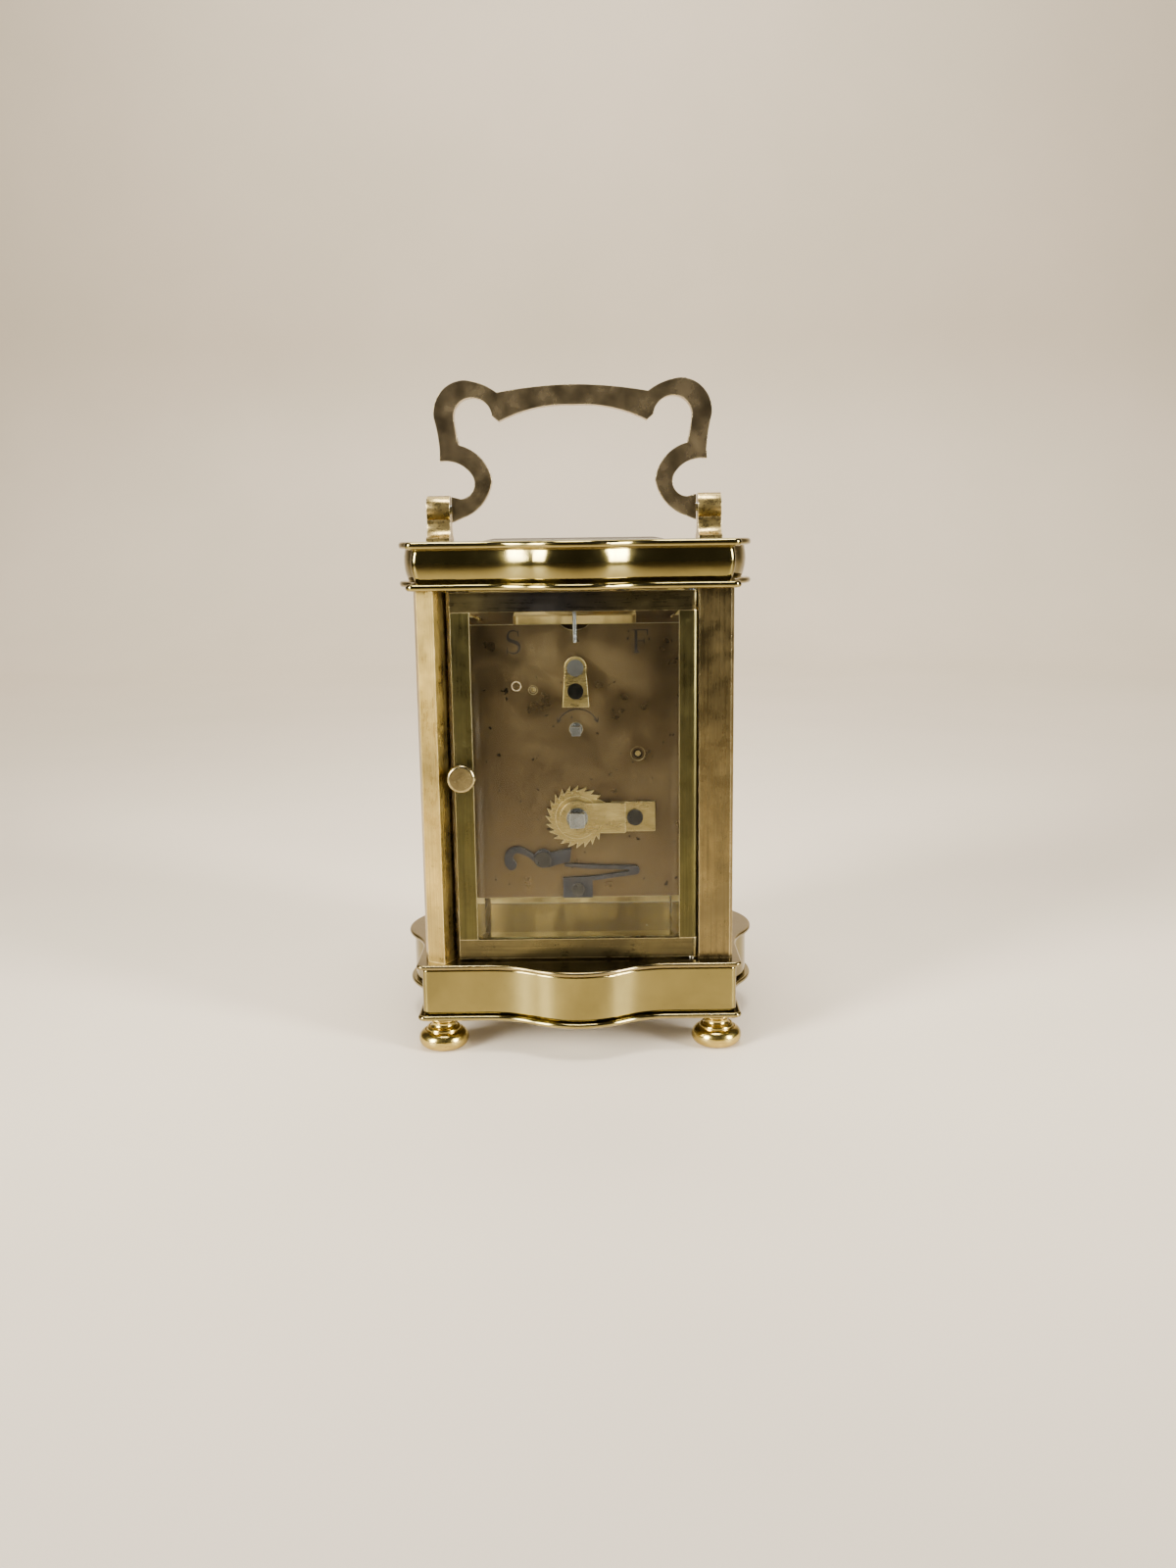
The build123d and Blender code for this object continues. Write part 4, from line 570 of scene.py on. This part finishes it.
def numeral(text):
    """Strokes of a Roman numeral with hairline serifs, centred on x = 0, foot at z = 0."""
    squeeze = 0.82 if len(text) > 3 else 1.0
    total = sum(WIDE[c] for c in text) * squeeze
    x = -total / 2
    shapes = []
    for char in text:
        width = WIDE[char] * squeeze
        middle = x + width / 2
        if char == "I":
            shapes.append(stroke(middle, 0, middle, TALL, 0.5))
            shapes.append(stroke(middle, 0, middle, 0.13, 0.95 * squeeze))
            shapes.append(stroke(middle, TALL - 0.13, middle, TALL, 0.95 * squeeze))
        elif char == "V":
            shapes.append(stroke(middle, 0, middle - 0.75, TALL, 0.52))
            shapes.append(stroke(middle, 0, middle + 0.8, TALL, 0.17))
            shapes.append(stroke(middle - 0.75, TALL - 0.13, middle - 0.75, TALL, 0.95))
            shapes.append(stroke(middle + 0.8, TALL - 0.13, middle + 0.8, TALL, 0.7))
        else:
            shapes.append(stroke(middle + 0.75, 0, middle - 0.75, TALL, 0.52))
            shapes.append(stroke(middle - 0.75, 0, middle + 0.75, TALL, 0.17))
            for side in (-1, 1):
                shapes.append(stroke(middle + side * 0.75, 0, middle + side * 0.75, 0.13, 0.9))
                shapes.append(
                    stroke(middle + side * 0.75, TALL - 0.13, middle + side * 0.75, TALL, 0.9),
                )
        x += width
    return shapes


chapter = []
for hour, text in enumerate(NUMERALS):
    for outline in numeral(text):
        chapter.append(spun(outline, 30 * hour, NUMERAL_FOOT_RADIUS))
strips("dial_numerals", on_dial, chapter, "ink", "case", 0.012, 1)

track = []
for ring_radius in (TRACK_INNER, TRACK_OUTER):
    ring = [(x - centre_x, z) for x, z in arc((0, centre_z), ring_radius, 0, 360, 180)]
    track += ribbon(ring, [0.12] * len(ring))
for minute in range(60):
    heavy = minute % 5 == 0
    width = 0.42 if heavy else 0.14
    track.append(spun(stroke(0, TRACK_INNER, 0, TRACK_OUTER, width), 6 * minute))
strips("dial_minute_track", on_dial, track, "ink", "case", 0.012, 1)

# ------------------------------------------------------------------ surroundings, in metres
FLOOR_FRONT_Y = -1.8
FLOOR_HALF_X = 3.0
CURVE_Y = 0.9
CURVE_R = 0.35
CURVE_STEPS = 12
WALL_TOP = 3.0


def sweep():
    """A pale floor that curves up into a wall, well behind the clock."""
    profile = [(FLOOR_FRONT_Y, 0.0), (CURVE_Y, 0.0)]
    for i in range(1, CURVE_STEPS + 1):
        a = math.radians(90 * i / CURVE_STEPS)
        profile.append((CURVE_Y + CURVE_R * math.sin(a), CURVE_R * (1 - math.cos(a))))
    profile.append((CURVE_Y + CURVE_R, WALL_TOP))
    bm = bmesh.new()
    rows = [[bm.verts.new((x, y, z)) for y, z in profile] for x in (-FLOOR_HALF_X, FLOOR_HALF_X)]
    for i in range(len(profile) - 1):
        bm.faces.new((rows[0][i], rows[1][i], rows[1][i + 1], rows[0][i + 1]))
    mesh = bpy.data.meshes.new("studio_sweep")
    bm.to_mesh(mesh)
    bm.free()
    for face in mesh.polygons:
        face.use_smooth = True
    floor = bpy.data.objects.new("studio_sweep", mesh)
    scene.collection.objects.link(floor)
    net = Net("pale_floor")
    tone = net.blend(
        net.ramp(net.noise(0.006, 3.0), 0.3, 0.7), (0.66, 0.57, 0.45), (0.62, 0.54, 0.42),
    )
    mesh.materials.append(net.close(net.shader(Base_Color=tone, Roughness=0.55)))


sweep()


def lamp(name, place, target, size, power, colour, size_y, spread):
    data = bpy.data.lights.new(name, "AREA")
    data.shape = "RECTANGLE"
    data.size = size
    data.size_y = size_y
    data.spread = math.radians(spread)
    data.energy = power
    data.color = colour
    light = bpy.data.objects.new(name, data)
    light.location = place
    direction = Vector(target) - Vector(place)
    light.rotation_euler = direction.to_track_quat("-Z", "Y").to_euler()
    scene.collection.objects.link(light)


for lamp_row in (
    # name, place, aimed at, width, watts, colour, height, spread in degrees
    ("left_window", (-0.75, -0.62, 0.42), (0, 0, 0.08), 0.34, 4.0, (1.0, 0.97, 0.92), 0.6, 50),
    ("right_window", (0.8, -0.5, 0.34), (0, 0, 0.08), 0.22, 2.6, (1.0, 0.97, 0.93), 0.5, 50),
    ("overhead", (0.0, -0.1, 1.15), (0, 0.1, 0.05), 0.5, 2.4, (1.0, 0.97, 0.93), 0.4, 60),
    ("floor_wash", (0.0, 1.0, 1.9), (0, 0.5, 0.0), 1.6, 6.0, (1.0, 0.95, 0.87), 0.5, 90),
    ("wall_wash", (0.0, 0.1, 1.5), (0, 1.25, 0.35), 1.4, 16.0, (1.0, 0.94, 0.84), 0.4, 90),
):
    lamp(*lamp_row)

world = bpy.data.worlds.new("soft_room")
world.use_nodes = True
background = world.node_tree.nodes["Background"]
background.inputs["Color"].default_value = (0.60, 0.55, 0.48, 1.0)
background.inputs["Strength"].default_value = 0.12
scene.world = world

# ------------------------------------------------------------------ camera
CAMERA_PLACE = (4.17, -348.22, 125.45)  # millimetres
CAMERA_LENS = 30.6
SENSOR = 36.0
yaw, pitch, roll = math.radians(-0.25), math.radians(10.52), math.radians(-0.75)
forward = Vector(
    (math.sin(yaw) * math.cos(pitch), math.cos(yaw) * math.cos(pitch), -math.sin(pitch)),
)
across = Vector((math.cos(yaw), -math.sin(yaw), 0.0))
upward = across.cross(forward)
right = across * math.cos(roll) + upward * math.sin(roll)
top = upward * math.cos(roll) - across * math.sin(roll)
camera_data = bpy.data.cameras.new("camera")
camera_data.sensor_width = SENSOR
camera_data.lens = CAMERA_LENS
camera_data.clip_start = 0.01
camera_data.clip_end = 20.0
camera = bpy.data.objects.new("camera", camera_data)
spot = Vector(CAMERA_PLACE) * MM
back = -forward
camera.matrix_world = Matrix(
    (
        (right.x, top.x, back.x, spot.x),
        (right.y, top.y, back.y, spot.y),
        (right.z, top.z, back.z, spot.z),
        (0.0, 0.0, 0.0, 1.0),
    )
)
scene.collection.objects.link(camera)
scene.camera = camera
